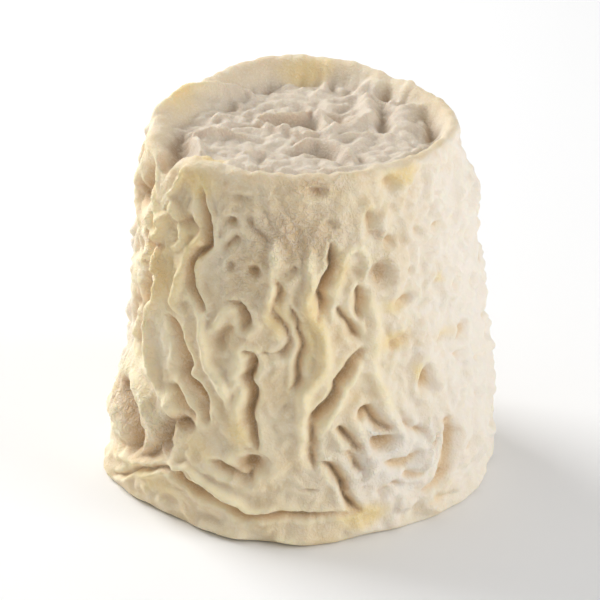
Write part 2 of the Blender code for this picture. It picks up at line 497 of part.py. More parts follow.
def side_relief(az, height):
    """How far the skin of the side stands out, from its furrows, raised folds and pits."""
    place = np.stack([az * ARC, height, np.zeros(len(az))], -1)
    across = place[:, 0] + crumble(place + 20, WOBBLE_SIZE, WOBBLE)
    up = height + crumble(place + 40, WOBBLE_SIZE, WOBBLE)
    across_back = np.where(across < 0, across + 360 * ARC, across)
    turned = np.radians(np.clip(az, -SEEN_TO, SEEN_TO))
    in_view = smooth((SEEN_END - np.abs(az)) / SEEN_FADE)

    def seen(depth):
        """Where each point shows when it lies this much deeper than the plain side."""
        below = (SEEN_OUTSIDE + depth) * in_view
        return across - np.tan(turned) * below, up + math.tan(SEEN_FROM) / np.cos(turned) * below

    raised, cuts = [], []
    front = [(*seen(cut[1]), cut) for cut in FURROWS.values()]
    back = [(across_back, up, cut) for cut in back_lines(BACK_SEED)]
    for girth, level, (half_width, depth, lean, route) in front + back:
        crease, lips = furrow(girth, level, in_arc(route), half_width, lean)
        cuts.append(depth * crease)
        raised.append(LIP * depth * lips)
    for half_width, rise, lean, route in FOLDS.values():
        raised.append(rise * fold(*seen(-rise), in_arc(route), half_width, lean))
    for half_width, depth, lean, route in back_lines(BACK_SEED + 2, BACK_PITCH / 2):
        raised.append(BACK_FOLD_SHARE * depth * fold(across_back, up, in_arc(route), half_width, lean))
    for centre, level, half_width, half_height, drawn_depth in [*PITS, *back_pits()]:
        depth = PIT_STRENGTH * drawn_depth
        girth, rises = (across_back, up) if centre > 90 else seen(depth)
        out = np.sqrt(((girth - centre * ARC) / half_width) ** 2 + ((rises - level) / half_height) ** 2)
        cuts.append(depth * np.exp(-(out**2)))
        raised.append(PIT_RIM * depth * np.exp(-(((out - 1.9) / 0.7) ** 2)))
    return joined(raised) - joined(cuts)


def top_relief(x, y):
    """Height of the lumps and hollows of the top, in plan."""
    place = np.stack([x, y, np.zeros(len(x))], -1)
    across = x + crumble(place + 60, WOBBLE_SIZE, WOBBLE)
    back = y + crumble(place + 80, WOBBLE_SIZE, WOBBLE)
    raised, cuts = [], []
    for half_width, rise, route in TOP_RIDGES.values():
        raised.append(rise * fold(across, back, route, half_width))
    for half_width, depth, route in TOP_CREASES.values():
        cuts.append(depth * furrow(across, back, route, half_width)[0])
    for at_x, at_y, half_width, half_depth, depth in TOP_HOLLOWS:
        spread = ((across - at_x) / half_width) ** 2 + ((back - at_y) / half_depth) ** 2
        cuts.append(depth * np.exp(-spread))
    return joined(raised) - joined(cuts)


def dish(az, inward):
    """How far down the dish is at a distance inward from the edge: 0 on the rim, 1 on its floor."""
    return smooth((inward - RIM_WIDTH) / round_azimuth(az, DISH_SLOPES))


def crumble(points, size, amount):
    """A fine unevenness of about this size at each point."""
    return np.array([noise.noise(Vector(p) / size) for p in points]) * amount


def billow(points, size, amount, stretch):
    """Rounded swellings with creases between them, drawn out upwards."""
    drawn_out = points / size * np.array((1.0, 1.0, 1 / stretch))
    bent = [noise.noise(Vector(p) + 0.5 * noise.noise_vector(Vector(p) * 0.7)) for p in drawn_out]
    return amount * (BILLOW_RISE * np.abs(np.array(bent)) - BILLOW_LEVEL)


def curds(points, size, amount):
    """Small rounded lumps packed side by side."""
    nearest = np.array([noise.voronoi(Vector(p) / size)[0][0] for p in points])
    return amount * (0.5 - np.minimum(nearest, 1.0) ** 2)


def section(spacing):
    """Radius and height of the blank's outline, from the middle of the base out, up and in."""
    sole = BASE_RADIUS - TOE_ROUNDING
    lid = BASE_RADIUS - EDGE_ROUNDING
    shoulder = HEIGHT - EDGE_ROUNDING
    toe_turn = np.linspace(0, math.pi / 2, TOE_STEPS)
    edge_turn = np.linspace(0, math.pi / 2, EDGE_STEPS)
    toe = [(sole + TOE_ROUNDING * math.sin(a), TOE_ROUNDING * (1 - math.cos(a))) for a in toe_turn]
    rises = round((shoulder - TOE_ROUNDING) / spacing)
    wall = [(BASE_RADIUS, z) for z in np.linspace(TOE_ROUNDING, shoulder, rises)[1:-1]]
    edge = [(lid + EDGE_ROUNDING * math.cos(a), shoulder + EDGE_ROUNDING * math.sin(a)) for a in edge_turn]
    top = [(r, HEIGHT) for r in np.linspace(lid, 0, round(lid / spacing))[1:]]
    return [(0.0, 0.0), *toe, *wall, *edge, *top]


def blank(spacing):
    """The plain drum that the relief is worked into."""
    drum = bmesh.new()
    verts = [drum.verts.new((0.0, -radius, z)) for radius, z in section(spacing)]
    edges = [drum.edges.new(pair) for pair in zip(verts, verts[1:])]
    turns = CORNERS * round(2 * math.pi * BASE_RADIUS / spacing / CORNERS)
    bmesh.ops.spin(
        drum, geom=verts + edges, cent=(0, 0, 0), axis=(0, 0, 1), dvec=(0, 0, 0),
        angle=2 * math.pi, steps=turns, use_merge=True, use_duplicate=False,
    )
    bmesh.ops.remove_doubles(drum, verts=drum.verts, dist=SAME_PLACE)
    lid = [v for v in drum.verts if v.co.z > HEIGHT - SAME_PLACE]
    bmesh.ops.remove_doubles(drum, verts=lid, dist=CLOSEST * spacing)
    bmesh.ops.recalc_face_normals(drum, faces=drum.faces)
    return drum


def shaped(points):
    """Where each point of the blank lies in the cheese."""
    x, y, z = points.T
    out = np.hypot(x, y)
    az = np.degrees(np.arctan2(x, -y))
    is_upper = z > HEIGHT / 2
    rounding = np.where(is_upper, EDGE_ROUNDING, TOE_ROUNDING)
    outward = np.clip((out - BASE_RADIUS) / rounding + 1, 0, 1)
    upward = np.clip((z - HEIGHT) / EDGE_ROUNDING + 1, 0, 1)

    local = body_radius(az, z)
    sole = local * (1 - TOE_ROUNDING / BASE_RADIUS)
    drawn_in = sole * (1 - DRAWN_IN * (1 - np.abs(np.cos(np.radians(az) * CORNERS / 2))))
    at_toe = drawn_in + outward * (local - drawn_in)
    radius = np.where((out == 0) | is_upper, out / BASE_RADIUS * local, at_toe)
    px, py = radius * np.sin(np.radians(az)), -radius * np.cos(np.radians(az))

    rim = round_azimuth(az, RIM_HEIGHTS)
    in_dish = dish(az, local - radius)
    floor = FLOOR_HEIGHT - FLOOR_FALL_TO_BACK * py
    lumps = crumble(points + 50, LUMP_SIZE, LUMPS) + curds(points, CURD_SIZE, CURDS)
    in_front = smooth((FRONT_EDGE - np.abs(az)) / FRONT_EDGE_FADE)
    at_edge = EDGE_LUMPS + (FRONT_EDGE_LUMPS - EDGE_LUMPS) * in_front
    lumps = lumps * (at_edge + (1 - at_edge) * in_dish**3)
    rough = (EDGE_RIDGES + (1 - EDGE_RIDGES) * in_dish) * top_relief(px, py) + lumps
    on_top = z - HEIGHT + rim + (floor - rim) * in_dish + rough * smooth(2.2 * upward - 0.5)
    on_side = z + (rim - HEIGHT) * smooth((z - 40) / (HEIGHT - 40))
    height = np.where(upward > 0, on_top, on_side)

    calm_from, calm_to = CALM_SPAN
    calm = CALM * smooth((az - calm_from) / CALM_FADE + 1) * smooth((calm_to - az) / CALM_FADE + 1)
    large = billow(points, BILLOW_SIZE, BILLOWS, BILLOW_STRETCH) * (1 - calm)
    small = billow(points + 30, SMALL_BILLOW_SIZE, SMALL_BILLOWS, SMALL_BILLOW_STRETCH)
    small = small * (1 - SMALL_CALM * calm)
    skin = side_relief(az, z) + (large + small) * smooth((HEIGHT - z) / RIM_CALM)
    skin = skin + crumble(points, UNEVENNESS_SIZE, UNEVENNESS)
    skin = skin + crumble(points + 90, FOOT_LUMP_SIZE, FOOT_LUMPS) * smooth(1 - z / FOOT_LUMP_REACH)
    radius = radius + skin * outward * smooth(z / PLAIN_TOE)
    turned = np.radians(az)
    return np.stack([radius * np.sin(turned), -radius * np.cos(turned), np.maximum(height, 0)], -1)


def rind_material():
    material = bpy.data.materials.new("rind")
    material.use_nodes = True
    shader = material.node_tree.nodes["Principled BSDF"]
    shader.inputs["Base Color"].default_value = RIND_COLOUR
    shader.inputs["Roughness"].default_value = 0.75
    shader.inputs["Metallic"].default_value = 0.0
    return material


def make_cheese():
    drum = blank(SPACING)
    points = np.array([v.co for v in drum.verts])
    for vert, place in zip(drum.verts, shaped(points) * MM):
        vert.co = place
    above_base = [v for v in drum.verts if v.co.z > 0]
    for _ in range(SMOOTHING):
        bmesh.ops.smooth_vert(
            drum, verts=above_base, factor=0.5, use_axis_x=True, use_axis_y=True, use_axis_z=True,
        )
    bmesh.ops.triangulate(drum, faces=drum.faces)
    mesh = bpy.data.meshes.new("cheese")
    triangles = len(drum.faces)
    drum.to_mesh(mesh)
    drum.free()
    mesh.shade_smooth()
    mesh.materials.append(rind_material())
    cheese = bpy.data.objects.new("cheese", mesh)
    bpy.context.scene.collection.objects.link(cheese)
    may_thin = cheese.vertex_groups.new(name="may be thinned")
    may_thin.add([v.index for v in mesh.vertices if v.co.z > 0], 1.0, "REPLACE")
    if triangles > MOST_TRIANGLES:
        thin = cheese.modifiers.new("thin", "DECIMATE")
        thin.decimate_type = "COLLAPSE"
        thin.ratio = MOST_TRIANGLES / triangles
        thin.vertex_group = may_thin.name
        thin.use_collapse_triangulate = True
    return cheese


def main():
    for obj in list(bpy.data.objects):
        bpy.data.objects.remove(obj)
    make_cheese()


if __name__ == "__main__":
    main()
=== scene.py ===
import math
import random

import bmesh
import bpy
import numpy as np
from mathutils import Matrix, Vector, noise


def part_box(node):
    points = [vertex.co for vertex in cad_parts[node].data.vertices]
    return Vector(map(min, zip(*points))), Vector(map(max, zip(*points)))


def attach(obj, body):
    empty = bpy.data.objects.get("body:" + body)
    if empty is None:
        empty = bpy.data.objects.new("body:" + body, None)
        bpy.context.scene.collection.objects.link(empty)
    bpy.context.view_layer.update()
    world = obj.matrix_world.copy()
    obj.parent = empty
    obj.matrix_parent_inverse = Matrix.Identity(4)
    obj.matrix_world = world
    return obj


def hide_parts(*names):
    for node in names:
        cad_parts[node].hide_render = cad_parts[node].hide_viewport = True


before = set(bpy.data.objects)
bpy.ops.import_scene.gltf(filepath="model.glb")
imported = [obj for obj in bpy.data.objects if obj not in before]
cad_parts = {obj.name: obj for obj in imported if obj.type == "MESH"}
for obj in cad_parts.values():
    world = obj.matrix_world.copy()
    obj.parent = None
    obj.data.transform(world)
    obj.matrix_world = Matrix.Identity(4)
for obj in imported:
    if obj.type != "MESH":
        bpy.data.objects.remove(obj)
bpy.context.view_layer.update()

# A small ripened goat's cheese, tall and tapered, with a wrinkled rind. It stands on its wider end.
# The relief is worked out in millimetres; azimuth 0 is the front (-Y), positive towards +X.

mm = 0.001

# the whole form, and how fine its mesh is
cheese = {
    "height": 59.5,
    "baseRadius": 29.6,
    "toeRounding": 0.8,
    "edgeRounding": 1.4,
    "footHeight": 6.5,
    "shoulderHeight": 17.0,
    "rimWidth": 1.5,
    "floorHeight": 57.5,
    "floorFallToBack": 0.035,
    "corners": 10,  # the flat touches the table at this many corners
    "drawnIn": 0.045,  # share by which its edge is drawn in between them
    "spacing": 0.42,
    "unevenness": 0.3,
    "lumpSize": 2.6,
    "lumps": 0.8,
    "curdSize": 1.9,
    "curds": 0.5,
    "edgeLumps": 0.4,  # share of the lumps that shows on the edge of the top
    "frontEdgeLumps": 0.8,  # and on the front of the edge, up to this azimuth
    "frontEdge": 60,
    "billowSize": 4.4,
    "billows": 0.65,
    "smallBillowSize": 2.0,
    "smallBillows": 0.36,
    "calmSpan": (-82, 20),  # where the named furrows leave little room for billows
    "calm": 0.5,
    "rimCalm": 3.0,
    "footLumpSize": 4.2,
    "footLumps": 1.5,
    "footLumpReach": 8.0,
    "pebbleSize": 1.5,
    "pebbles": 0.16,
    "grainSize": 0.8,
    "grain": 0.09,
    # height and radius
    "taper": ((0, 29.6), (12, 28.6), (20, 27.8), (30, 26.9), (40, 26.0), (50, 25.1), (60, 24.4)),
    # azimuth and radius
    "footOutline": (
        (-180, 30.4), (-150, 30.8), (-120, 30.4), (-98, 31.0), (-78, 31.3), (-66, 30.1), (-53, 28.9),
        (-40, 28.5), (-31, 29.1), (-21, 29.9), (-9, 29.3), (1, 30.1), (9, 29.8), (22, 28.5), (35, 28.8),
        (50, 29.7), (60, 30.2), (78, 30.2), (105, 31.0), (140, 30.2),
    ),
    "rimOutline": (
        (-180, 24.4), (-167, 24.7), (-157, 23.6), (-143, 22.3), (-125, 21.2), (-108, 21.6), (-90, 23.0),
        (-70, 24.0), (-30, 24.6), (0, 24.7), (40, 24.8), (80, 25.0), (97, 24.0), (120, 22.9), (140, 22.7),
        (160, 23.6),
    ),
    # azimuth and height
    "rimHeights": (
        (-180, 60.2), (-160, 60.1), (-140, 59.8), (-122, 59.5), (-105, 59.2), (-78, 59.2), (-64, 58.4),
        (-56, 56.5), (-50, 58.4), (-42, 59.6), (-20, 59.5), (0, 59.2), (25, 59.4), (55, 59.5), (90, 59.7),
        (130, 59.4), (160, 60.1),
    ),
    # azimuth and how far the dish slopes down inside the rim
    "dishSlopes": (
        (-180, 3.4), (-150, 5.0), (-110, 6.5), (-80, 4.0), (-40, 1.5), (0, 1.5), (50, 1.5), (90, 2.4),
        (140, 4.0),
    ),
    # azimuth, height, half width, half height, rise
    "swellings": {
        "lobe low on the left": (-80, 12, 19, 6.0, 1.6),
        "waist on the left": (-80, 25, 26, 9, -1.6),
        "upper waist on the left": (-84, 42, 22, 6, -0.8),
        "shoulder on the left": (-80, 52, 16, 4, 1.2),
        "shoulder on the right": (84, 50.5, 26, 5.5, 2.7),
        "belly on the right": (82, 17, 32, 13, 2.3),
        "upper bulge on the right": (85, 38, 30, 9, 1.3),
        "belly at the back": (175, 16, 40, 14, 1.4),
        "shoulder at the back": (-150, 44, 30, 10, 0.7),
    },
}

# how furrows and folds are cut
cutting = {
    "endTaper": 0.2,
    "furrow": {"sharpness": 0.6, "shoulder": 0.25, "shoulderWidth": 2.4},
    "fold": {"sharpness": 1.3, "shoulder": 0.2, "shoulderWidth": 2.4},
    "lipWidth": 2.9,
    "lip": 0.36,
    "pitStrength": 1.3,
    "pitRim": 0.3,
    "joining": 3,
    "wobble": 0.55,
    "wobbleSize": 3.4,
    "girthRadius": 28.0,
    # the named places are given as they show from the front, this far above the level, on a wider body
    "seenFrom": 25,
    "seenOutside": 0.7,
    "seenTo": 58,
}
arc = math.radians(1.0) * cutting["girthRadius"]  # length of a degree round the girth

# furrows of the side: half width, depth, lean, and (azimuth, height) along each
furrows = {
    "foot crease": (0.42, 2.3, 0.0, (
        (-66, 4.0), (-60, 5.2), (-50, 8.4), (-44, 10.0), (-38, 11.2), (-34, 10.0), (-31, 9.1), (-24, 8.2),
        (-20, 7.5), (-15, 6.2), (-10, 6.5), (-5, 6.9), (0, 6.6), (4, 6.5), (10, 6.8), (16, 6.3),
    )),
    "front crack": (0.48, 2.7, -0.35, (
        (-31.5, 58), (-30, 55.5), (-28.3, 53), (-27.8, 51), (-28.5, 49), (-31, 47.3), (-32.6, 45.8),
        (-32.6, 43.5), (-31.3, 41.3), (-29.6, 39.8), (-28.6, 38.4),
    )),
    "arch": (0.54, 2.1, -0.2, ((-22.3, 40.2), (-18.2, 39.9), (-16, 38.9), (-15.6, 37.4), (-17.2, 36.3))),
    "under the arch": (0.6, 1.4, 0.0, ((-20.5, 35.8), (-23, 35.4), (-24.6, 33.6), (-23.4, 32.4))),
    "round the boot": (0.5, 1.8, 0.0, (
        (-7.6, 46.3), (-7.2, 44.5), (-6, 43), (-6.8, 41.3), (-7.7, 39.8), (-7.8, 38.6), (-5.8, 37.3),
        (-4, 35.8), (-3.2, 34.2), (-4.6, 33), (-8, 32.6), (-13, 32.9),
    )),
    "heel": (0.52, 2.6, -0.35, (
        (-16.5, 33), (-13.2, 32.8), (-12.2, 31.4), (-13.2, 29.6), (-14.6, 28.6), (-13, 27.2),
        (-12.8, 25), (-13.6, 22.6), (-13.2, 20.5), (-12.2, 18.6), (-12, 17),
    )),
    "under the heel": (0.6, 1.3, 0.0, ((-16.2, 16.6), (-13, 16.2), (-10, 15.6), (-8.4, 15))),
    "upper heel stub": (0.5, 1.3, 0.0, ((-18, 28.3), (-16, 28.2), (-13.6, 28.8))),
    "lower heel stub": (0.5, 1.2, 0.0, ((-16.8, 21.2), (-15.2, 20.9), (-13.4, 20.6))),
    "ankle": (0.58, 2.1, 0.0, ((-26, 13.9), (-21.5, 13.3), (-17, 12.5), (-14, 12.2), (-11.8, 13.6))),
    "hairline": (0.46, 1.9, 0.0, (
        (-3, 41), (-1.6, 38.5), (-1.3, 36.5), (0.4, 34.5), (0, 32), (0, 30), (-0.5, 28), (-2.5, 27),
    )),
    "zigzag": (0.56, 2.4, 0.3, (
        (9, 50.5), (9.3, 48), (9.5, 46.5), (7, 44.5), (5.2, 42.5), (5.8, 41), (4.6, 38.5),
    )),
    "long diagonal": (0.5, 2.5, 0.0, (
        (18.5, 33.5), (15, 31), (11, 28.5), (10.5, 27), (8.5, 25.5), (4, 23), (2.2, 22),
    )),
    "ribbon edge": (0.52, 1.7, 0.0, ((2.6, 23.5), (3, 20), (2.8, 17), (3, 14))),
    "upper diagonal": (0.52, 1.8, 0.0, ((11.5, 40), (13, 38), (15.5, 36), (18, 34.2))),
    "inner arch": (0.6, 0.9, 0.0, ((14, 43.4), (16.5, 45.2), (19, 44))),
    "beside the arch": (0.55, 1.8, 0.0, ((18.2, 42.8), (17.8, 40.5), (17.5, 38))),
    "under the arm": (0.6, 2.2, 0.0, ((16.6, 21.8), (18.3, 23.2), (20, 22.6), (22.5, 20.8), (26, 19))),
    "short crease": (0.52, 1.9, 0.0, ((11, 20.8), (13.5, 19.4), (15, 17.5), (17, 16.2))),
    "second short crease": (0.52, 1.6, 0.0, ((12.8, 16.6), (15, 15.2), (17.2, 13.2))),
    "corner of the foot": (0.52, 2.3, 0.2, (
        (5, 15.5), (8, 14.5), (10, 12.5), (12, 11), (12.3, 9.5), (13.5, 7.5), (16, 6.5),
    )),
    "left hand": (0.62, 2.7, -0.35, (
        (-41, 36.5), (-37.5, 35), (-35.2, 32.5), (-33.5, 29.5), (-32.8, 27.6), (-29.8, 25.8), (-27, 24),
        (-25.6, 22), (-25.3, 20.5),
    )),
    "left cuff": (0.52, 1.8, 0.0, ((-42, 24), (-38, 23.6), (-35.5, 22.2), (-33, 20.8), (-30.8, 20))),
    "left wrist": (0.95, 2.5, 0.0, (
        (-30.5, 19.2), (-34, 19.2), (-37.5, 18.6), (-39.2, 16.4), (-41, 14), (-44, 12.4), (-50, 10.4),
    )),
    "notch": (1.5, 3.3, 0.0, ((-51, 60), (-54, 57.5), (-57, 55), (-60, 53), (-66, 53.8))),
    "notch floor": (1.7, 1.6, 0.0, ((-54, 54.5), (-60, 56.5), (-67, 55.5))),
    "left hollow": (0.9, 2.1, 0.0, ((-56, 47.3), (-51, 46.8), (-47, 46.7))),
    "left eye": (0.6, 1.3, 0.0, ((-55, 51.2), (-52.3, 50.6), (-50.3, 49.2))),
    "far left hollow": (1.1, 2.0, 0.0, ((-73, 50.5), (-66, 49.3), (-60, 48.2))),
    "left slot": (0.7, 1.5, 0.0, ((-58.5, 42.6), (-55, 42), (-52, 41))),
    "far left slot": (1.2, 1.6, 0.0, ((-78, 41.5), (-72, 41.5), (-67.5, 40.8))),
    "small far left slot": (0.8, 1.3, 0.0, ((-66, 43.5), (-63, 42.3), (-61.5, 41))),
    "left valley": (1.25, 3.1, 0.2, (
        (-48.5, 42.5), (-50, 39.5), (-52, 36.5), (-54.5, 33.5), (-57, 30.5), (-55.5, 28), (-51, 26.5),
    )),
    "far left valley": (1.4, 2.8, 0.0, ((-59.5, 36.5), (-63, 35), (-67, 33.5), (-74, 32))),
    "left foot valley": (1.3, 3.6, 0.0, (
        (-65, 20.3), (-60, 19.8), (-54, 18.3), (-49.5, 16.6), (-47.5, 14.3), (-49, 12.5),
    )),
    "hem crease": (0.5, 1.2, 0.0, ((-66, 16), (-61, 15), (-57.5, 13.8))),
    "lobe crease": (0.9, 1.9, 0.0, ((-80, 13), (-75, 13.5), (-71, 13.4))),
    "under the hem": (0.9, 1.7, 0.0, ((-64, 9.6), (-59, 10.6), (-55, 11.2), (-53, 10.4))),
    "tongue": (0.55, 1.5, 0.0, ((25.5, 13.4), (29, 12.7), (33, 13), (36, 14.2))),
    "tongue edge": (0.5, 1.3, 0.0, ((30, 11), (34.5, 10.6), (38, 11.4), (39.7, 14.5), (44, 16))),
    "lower tongue": (0.5, 1.1, 0.0, ((22.5, 8.6), (26, 9.3), (30, 9.5))),
    "right thread": (0.5, 1.2, 0.0, ((29.5, 21.3), (33, 18.4), (39, 16.6))),
    "right upright": (0.8, 1.7, -0.3, ((46, 18), (46.6, 14.5), (46, 11.5), (44, 8.3), (36, 7.3))),
    "right foot crease": (0.55, 0.8, 0.0, ((39.5, 4.2), (46, 4.2), (52, 3.7))),
    "right shelf": (0.6, 1.2, 0.3, ((26.5, 30.4), (30.5, 32.2), (36, 33.1))),
    "upper right shelf": (0.5, 1.1, 0.3, ((29.5, 38.3), (33, 38.8), (37, 38.6))),
    "top right run": (0.6, 1.3, 0.0, ((22.2, 54.6), (23.2, 52.7), (22.8, 50.8), (26, 50.4))),
    "brow": (0.55, 1.2, 0.0, ((-25.8, 47.8), (-23.5, 48.7), (-21.5, 49.3), (-19.2, 49.6))),
    "upper brow": (0.55, 1.1, 0.0, ((-16.8, 54), (-15.2, 51.9), (-10, 49.8))),
    "patch edge": (0.5, 1.2, 0.0, ((-7.5, 45), (-4, 45.5), (0, 46))),
    "under the cheek": (0.6, 1.2, 0.0, ((-43.5, 51), (-39, 51), (-35, 50.2), (-34.5, 49.2), (-38, 48.4))),
}

# raised folds of the side: half width, height, lean, and where each runs
folds = {
    "left ribbon": (1.15, 2.4, 0.0, (
        (-77, 54), (-71, 53.5), (-66, 51.5), (-61, 49.7), (-57.3, 48.3), (-57.5, 47.2), (-60.5, 45.2),
        (-62.4, 43.8), (-60.8, 41.5), (-58.2, 39.8), (-57, 38), (-57.6, 35.8), (-60.5, 33.8),
        (-63.8, 31.6), (-64.5, 29.5), (-64, 27), (-62, 23.6), (-58.5, 22), (-55.5, 20), (-50, 19.4),
    )),
    "left hem": (1.2, 2.5, 0.0, (
        (-76, 18.4), (-68, 17.8), (-62, 16.9), (-57.5, 15), (-54, 12.8), (-51.8, 10.8), (-49, 10.1),
    )),
    "far left branch": (1.0, 1.8, 0.0, ((-84, 46.5), (-75, 46.8), (-68, 47), (-60.5, 45.3))),
    "far left loop": (1.0, 1.8, 0.0, (
        (-70.5, 44.4), (-67.3, 43), (-65.6, 41), (-68, 39.5), (-73, 38.2), (-80, 36),
    )),
    "notch edge": (0.5, 1.6, 0.0, ((-54, 53), (-51, 54), (-48.8, 55.6), (-46.3, 57), (-47.5, 58))),
    "notch sill": (0.5, 0.9, 0.0, ((-57.5, 50), (-54.5, 51.8), (-51.5, 53.3))),
    "left hook": (0.9, 1.9, 0.0, (
        (-52, 52.4), (-50, 50.3), (-46.8, 48.2), (-45, 46.4), (-47, 45.1), (-51, 44.2),
    )),
    "left thread": (0.5, 1.0, 0.0, ((-60, 43.6), (-55, 43.3), (-51.3, 42.2), (-50.6, 41.4), (-52.8, 40))),
    "left palm": (1.3, 2.0, 0.0, (
        (-33.5, 49), (-37, 46.8), (-42, 44), (-44.6, 41), (-47, 37.8), (-47, 35.6), (-43, 34.5),
    )),
    "left knuckles": (1.05, 1.8, -0.2, (
        (-42, 38), (-36.8, 36.8), (-34, 33.6), (-32.4, 30.4), (-31.4, 28), (-27, 25.8), (-24.3, 23.6),
        (-23.6, 21.3),
    )),
    "left back": (1.3, 0.9, 0.0, ((-43, 34.6), (-40, 31.5), (-38, 27.5), (-34, 24.3))),
    "left cuff edge": (0.8, 1.4, 0.0, ((-41, 24.8), (-36, 22.9), (-31, 21), (-29.4, 19.2))),
    "left upright": (1.3, 2.2, 0.0, ((-50, 19.8), (-46, 18), (-45, 15.5), (-46, 13))),
    "sole edge": (0.7, 0.9, 0.0, ((-38.5, 13.3), (-35, 11.8), (-31, 10.6), (-26, 10.1), (-20, 9.4))),
    "thumb": (1.0, 1.2, 0.0, ((-29.8, 33.2), (-25.5, 37), (-20, 38.3))),
    "boot shaft": (0.9, 1.5, 0.3, ((-8.5, 49.2), (-9.3, 46), (-9, 42.6), (-9.8, 39.5), (-8.6, 36.8))),
    "boot toe": (0.9, 0.9, 0.0, ((-7.5, 36.2), (-5.2, 34.6), (-9, 34.2))),
    "middle ribbon": (1.1, 1.9, 0.2, (
        (3.5, 47.5), (3.4, 42.5), (2.6, 38.8), (7, 34.6), (8, 31), (6, 27.4), (1.2, 24.6), (0.8, 20),
        (1.2, 14),
    )),
    "arm": (0.95, 1.8, 0.0, ((22.3, 31), (18.7, 28.3), (15.3, 26), (12, 23.4), (8, 20.4), (5.2, 18))),
    "heel pad": (1.7, 1.3, 0.0, ((-18.5, 32), (-20, 27), (-18.6, 21), (-19.2, 16))),
    "right knee": (1.1, 1.4, 0.0, ((18.2, 20.3), (19.3, 16.3), (24.3, 12.8), (20.5, 10))),
    "small knee": (0.8, 1.1, 0.0, ((10.8, 19.3), (14, 15.8), (17, 12.8))),
    "right shin": (1.2, 1.3, 0.0, ((23.5, 40), (25.8, 35), (24, 29), (28, 22.5), (32, 16.5))),
    "right elbow": (0.8, 1.3, 0.0, ((10.8, 42.6), (14.2, 46.3), (20, 47.8), (23.5, 45.3), (23, 42.5))),
    "finger": (0.7, 1.6, 0.3, ((44.6, 17.5), (44.6, 14), (43.6, 10.8), (40.5, 8.9), (33, 8.2))),
    "foot top": (0.58, 1.9, 0.0, (
        (-62, 3.6), (-55, 5.8), (-48, 7.8), (-42, 9.4), (-37, 9.9), (-32, 8.1), (-25, 7.1), (-20, 6.3),
        (-15, 5.1), (-8, 5.4), (0, 5.4),
    )),
    "foot ledge": (0.8, 0.7, 0.0, ((0, 5.4), (8, 5.6), (16, 5.0), (24, 5.2))),
    "lower lobe": (0.8, 1.5, 0.0, ((-78, 3.5), (-68, 5.8), (-58, 7.2), (-52, 8.2))),
    "nib": (0.8, 1.3, 0.0, ((-7.2, 1.3), (-4.5, 1.0), (-1.5, 1.5))),
}

# pits of the side: azimuth, height, half width, half height, depth
pits = (
    (-23, 52.6, 1.0, 0.7, 1.0), (-22.2, 45.4, 0.7, 0.7, 0.8), (-14.6, 45.3, 1.0, 0.8, 1.1),
    (-21, 56.5, 1.5, 0.6, 0.6), (-17.8, 38, 1.0, 1.2, 0.9), (-22.9, 34.1, 0.8, 0.9, 0.8),
    (-12.8, 14.8, 1.6, 1.3, 2.2), (-39, 50.8, 1.9, 0.7, 0.6), (7, 41.7, 0.9, 1.4, 0.6),
    (18, 31, 1.3, 1.2, 0.8), (25.6, 44.4, 1.3, 1.7, 1.5), (29.4, 49.1, 0.8, 0.8, 1.0),
    (5, 58.2, 1.5, 0.9, 0.9), (10, 52.6, 0.9, 0.7, 0.6), (30, 57.8, 1.2, 1.3, 0.8),
    (24.2, 52.6, 0.9, 1.2, 0.7), (23.5, 17.3, 1.6, 1.0, 1.8), (29.5, 13.1, 1.6, 0.5, 0.7),
    (38.8, 26, 1.0, 1.6, 1.5), (46.5, 25.2, 1.0, 0.8, 0.6), (52.5, 39.3, 1.0, 1.0, 1.2),
    (56, 30.6, 1.3, 1.1, 1.1), (55, 26.8, 1.1, 0.6, 0.6), (54, 20.4, 0.9, 0.6, 0.5),
    (40.3, 49, 0.9, 0.7, 0.7), (49.3, 48.9, 1.1, 0.7, 0.7), (58, 48.7, 1.1, 0.7, 0.6),
    (38, 43.3, 0.6, 0.5, 0.7), (46.5, 44.7, 0.8, 0.4, 0.6), (67, 44.6, 1.4, 0.9, 0.7),
    (59, 10.5, 1.3, 1.0, 0.6), (66, 23.6, 1.6, 0.8, 0.7), (-75, 13, 1.7, 0.9, 0.8),
    (18.3, 9.2, 0.7, 0.5, 0.5), (2.5, 10, 1.6, 0.35, 0.5), (32, 32, 1.6, 0.8, 0.5),
    (46.5, 39.4, 0.9, 0.9, 0.5), (38.5, 53, 0.9, 1.1, 0.5), (48, 30, 1.5, 0.8, 0.5),
    (44, 57.5, 1.6, 0.9, 0.4), (57, 45.3, 0.9, 0.5, 0.4), (74, 49.5, 1.3, 0.8, 0.5),
    (70, 36, 1.2, 0.9, 0.5), (63, 18, 1.2, 0.8, 0.4), (-8.3, 40.6, 0.5, 0.6, 0.4),
    (-28, 3.4, 1.8, 0.8, 0.5), (-42, 4.4, 2.0, 0.9, 0.6), (-52, 3.2, 1.6, 0.8, 0.5),
)

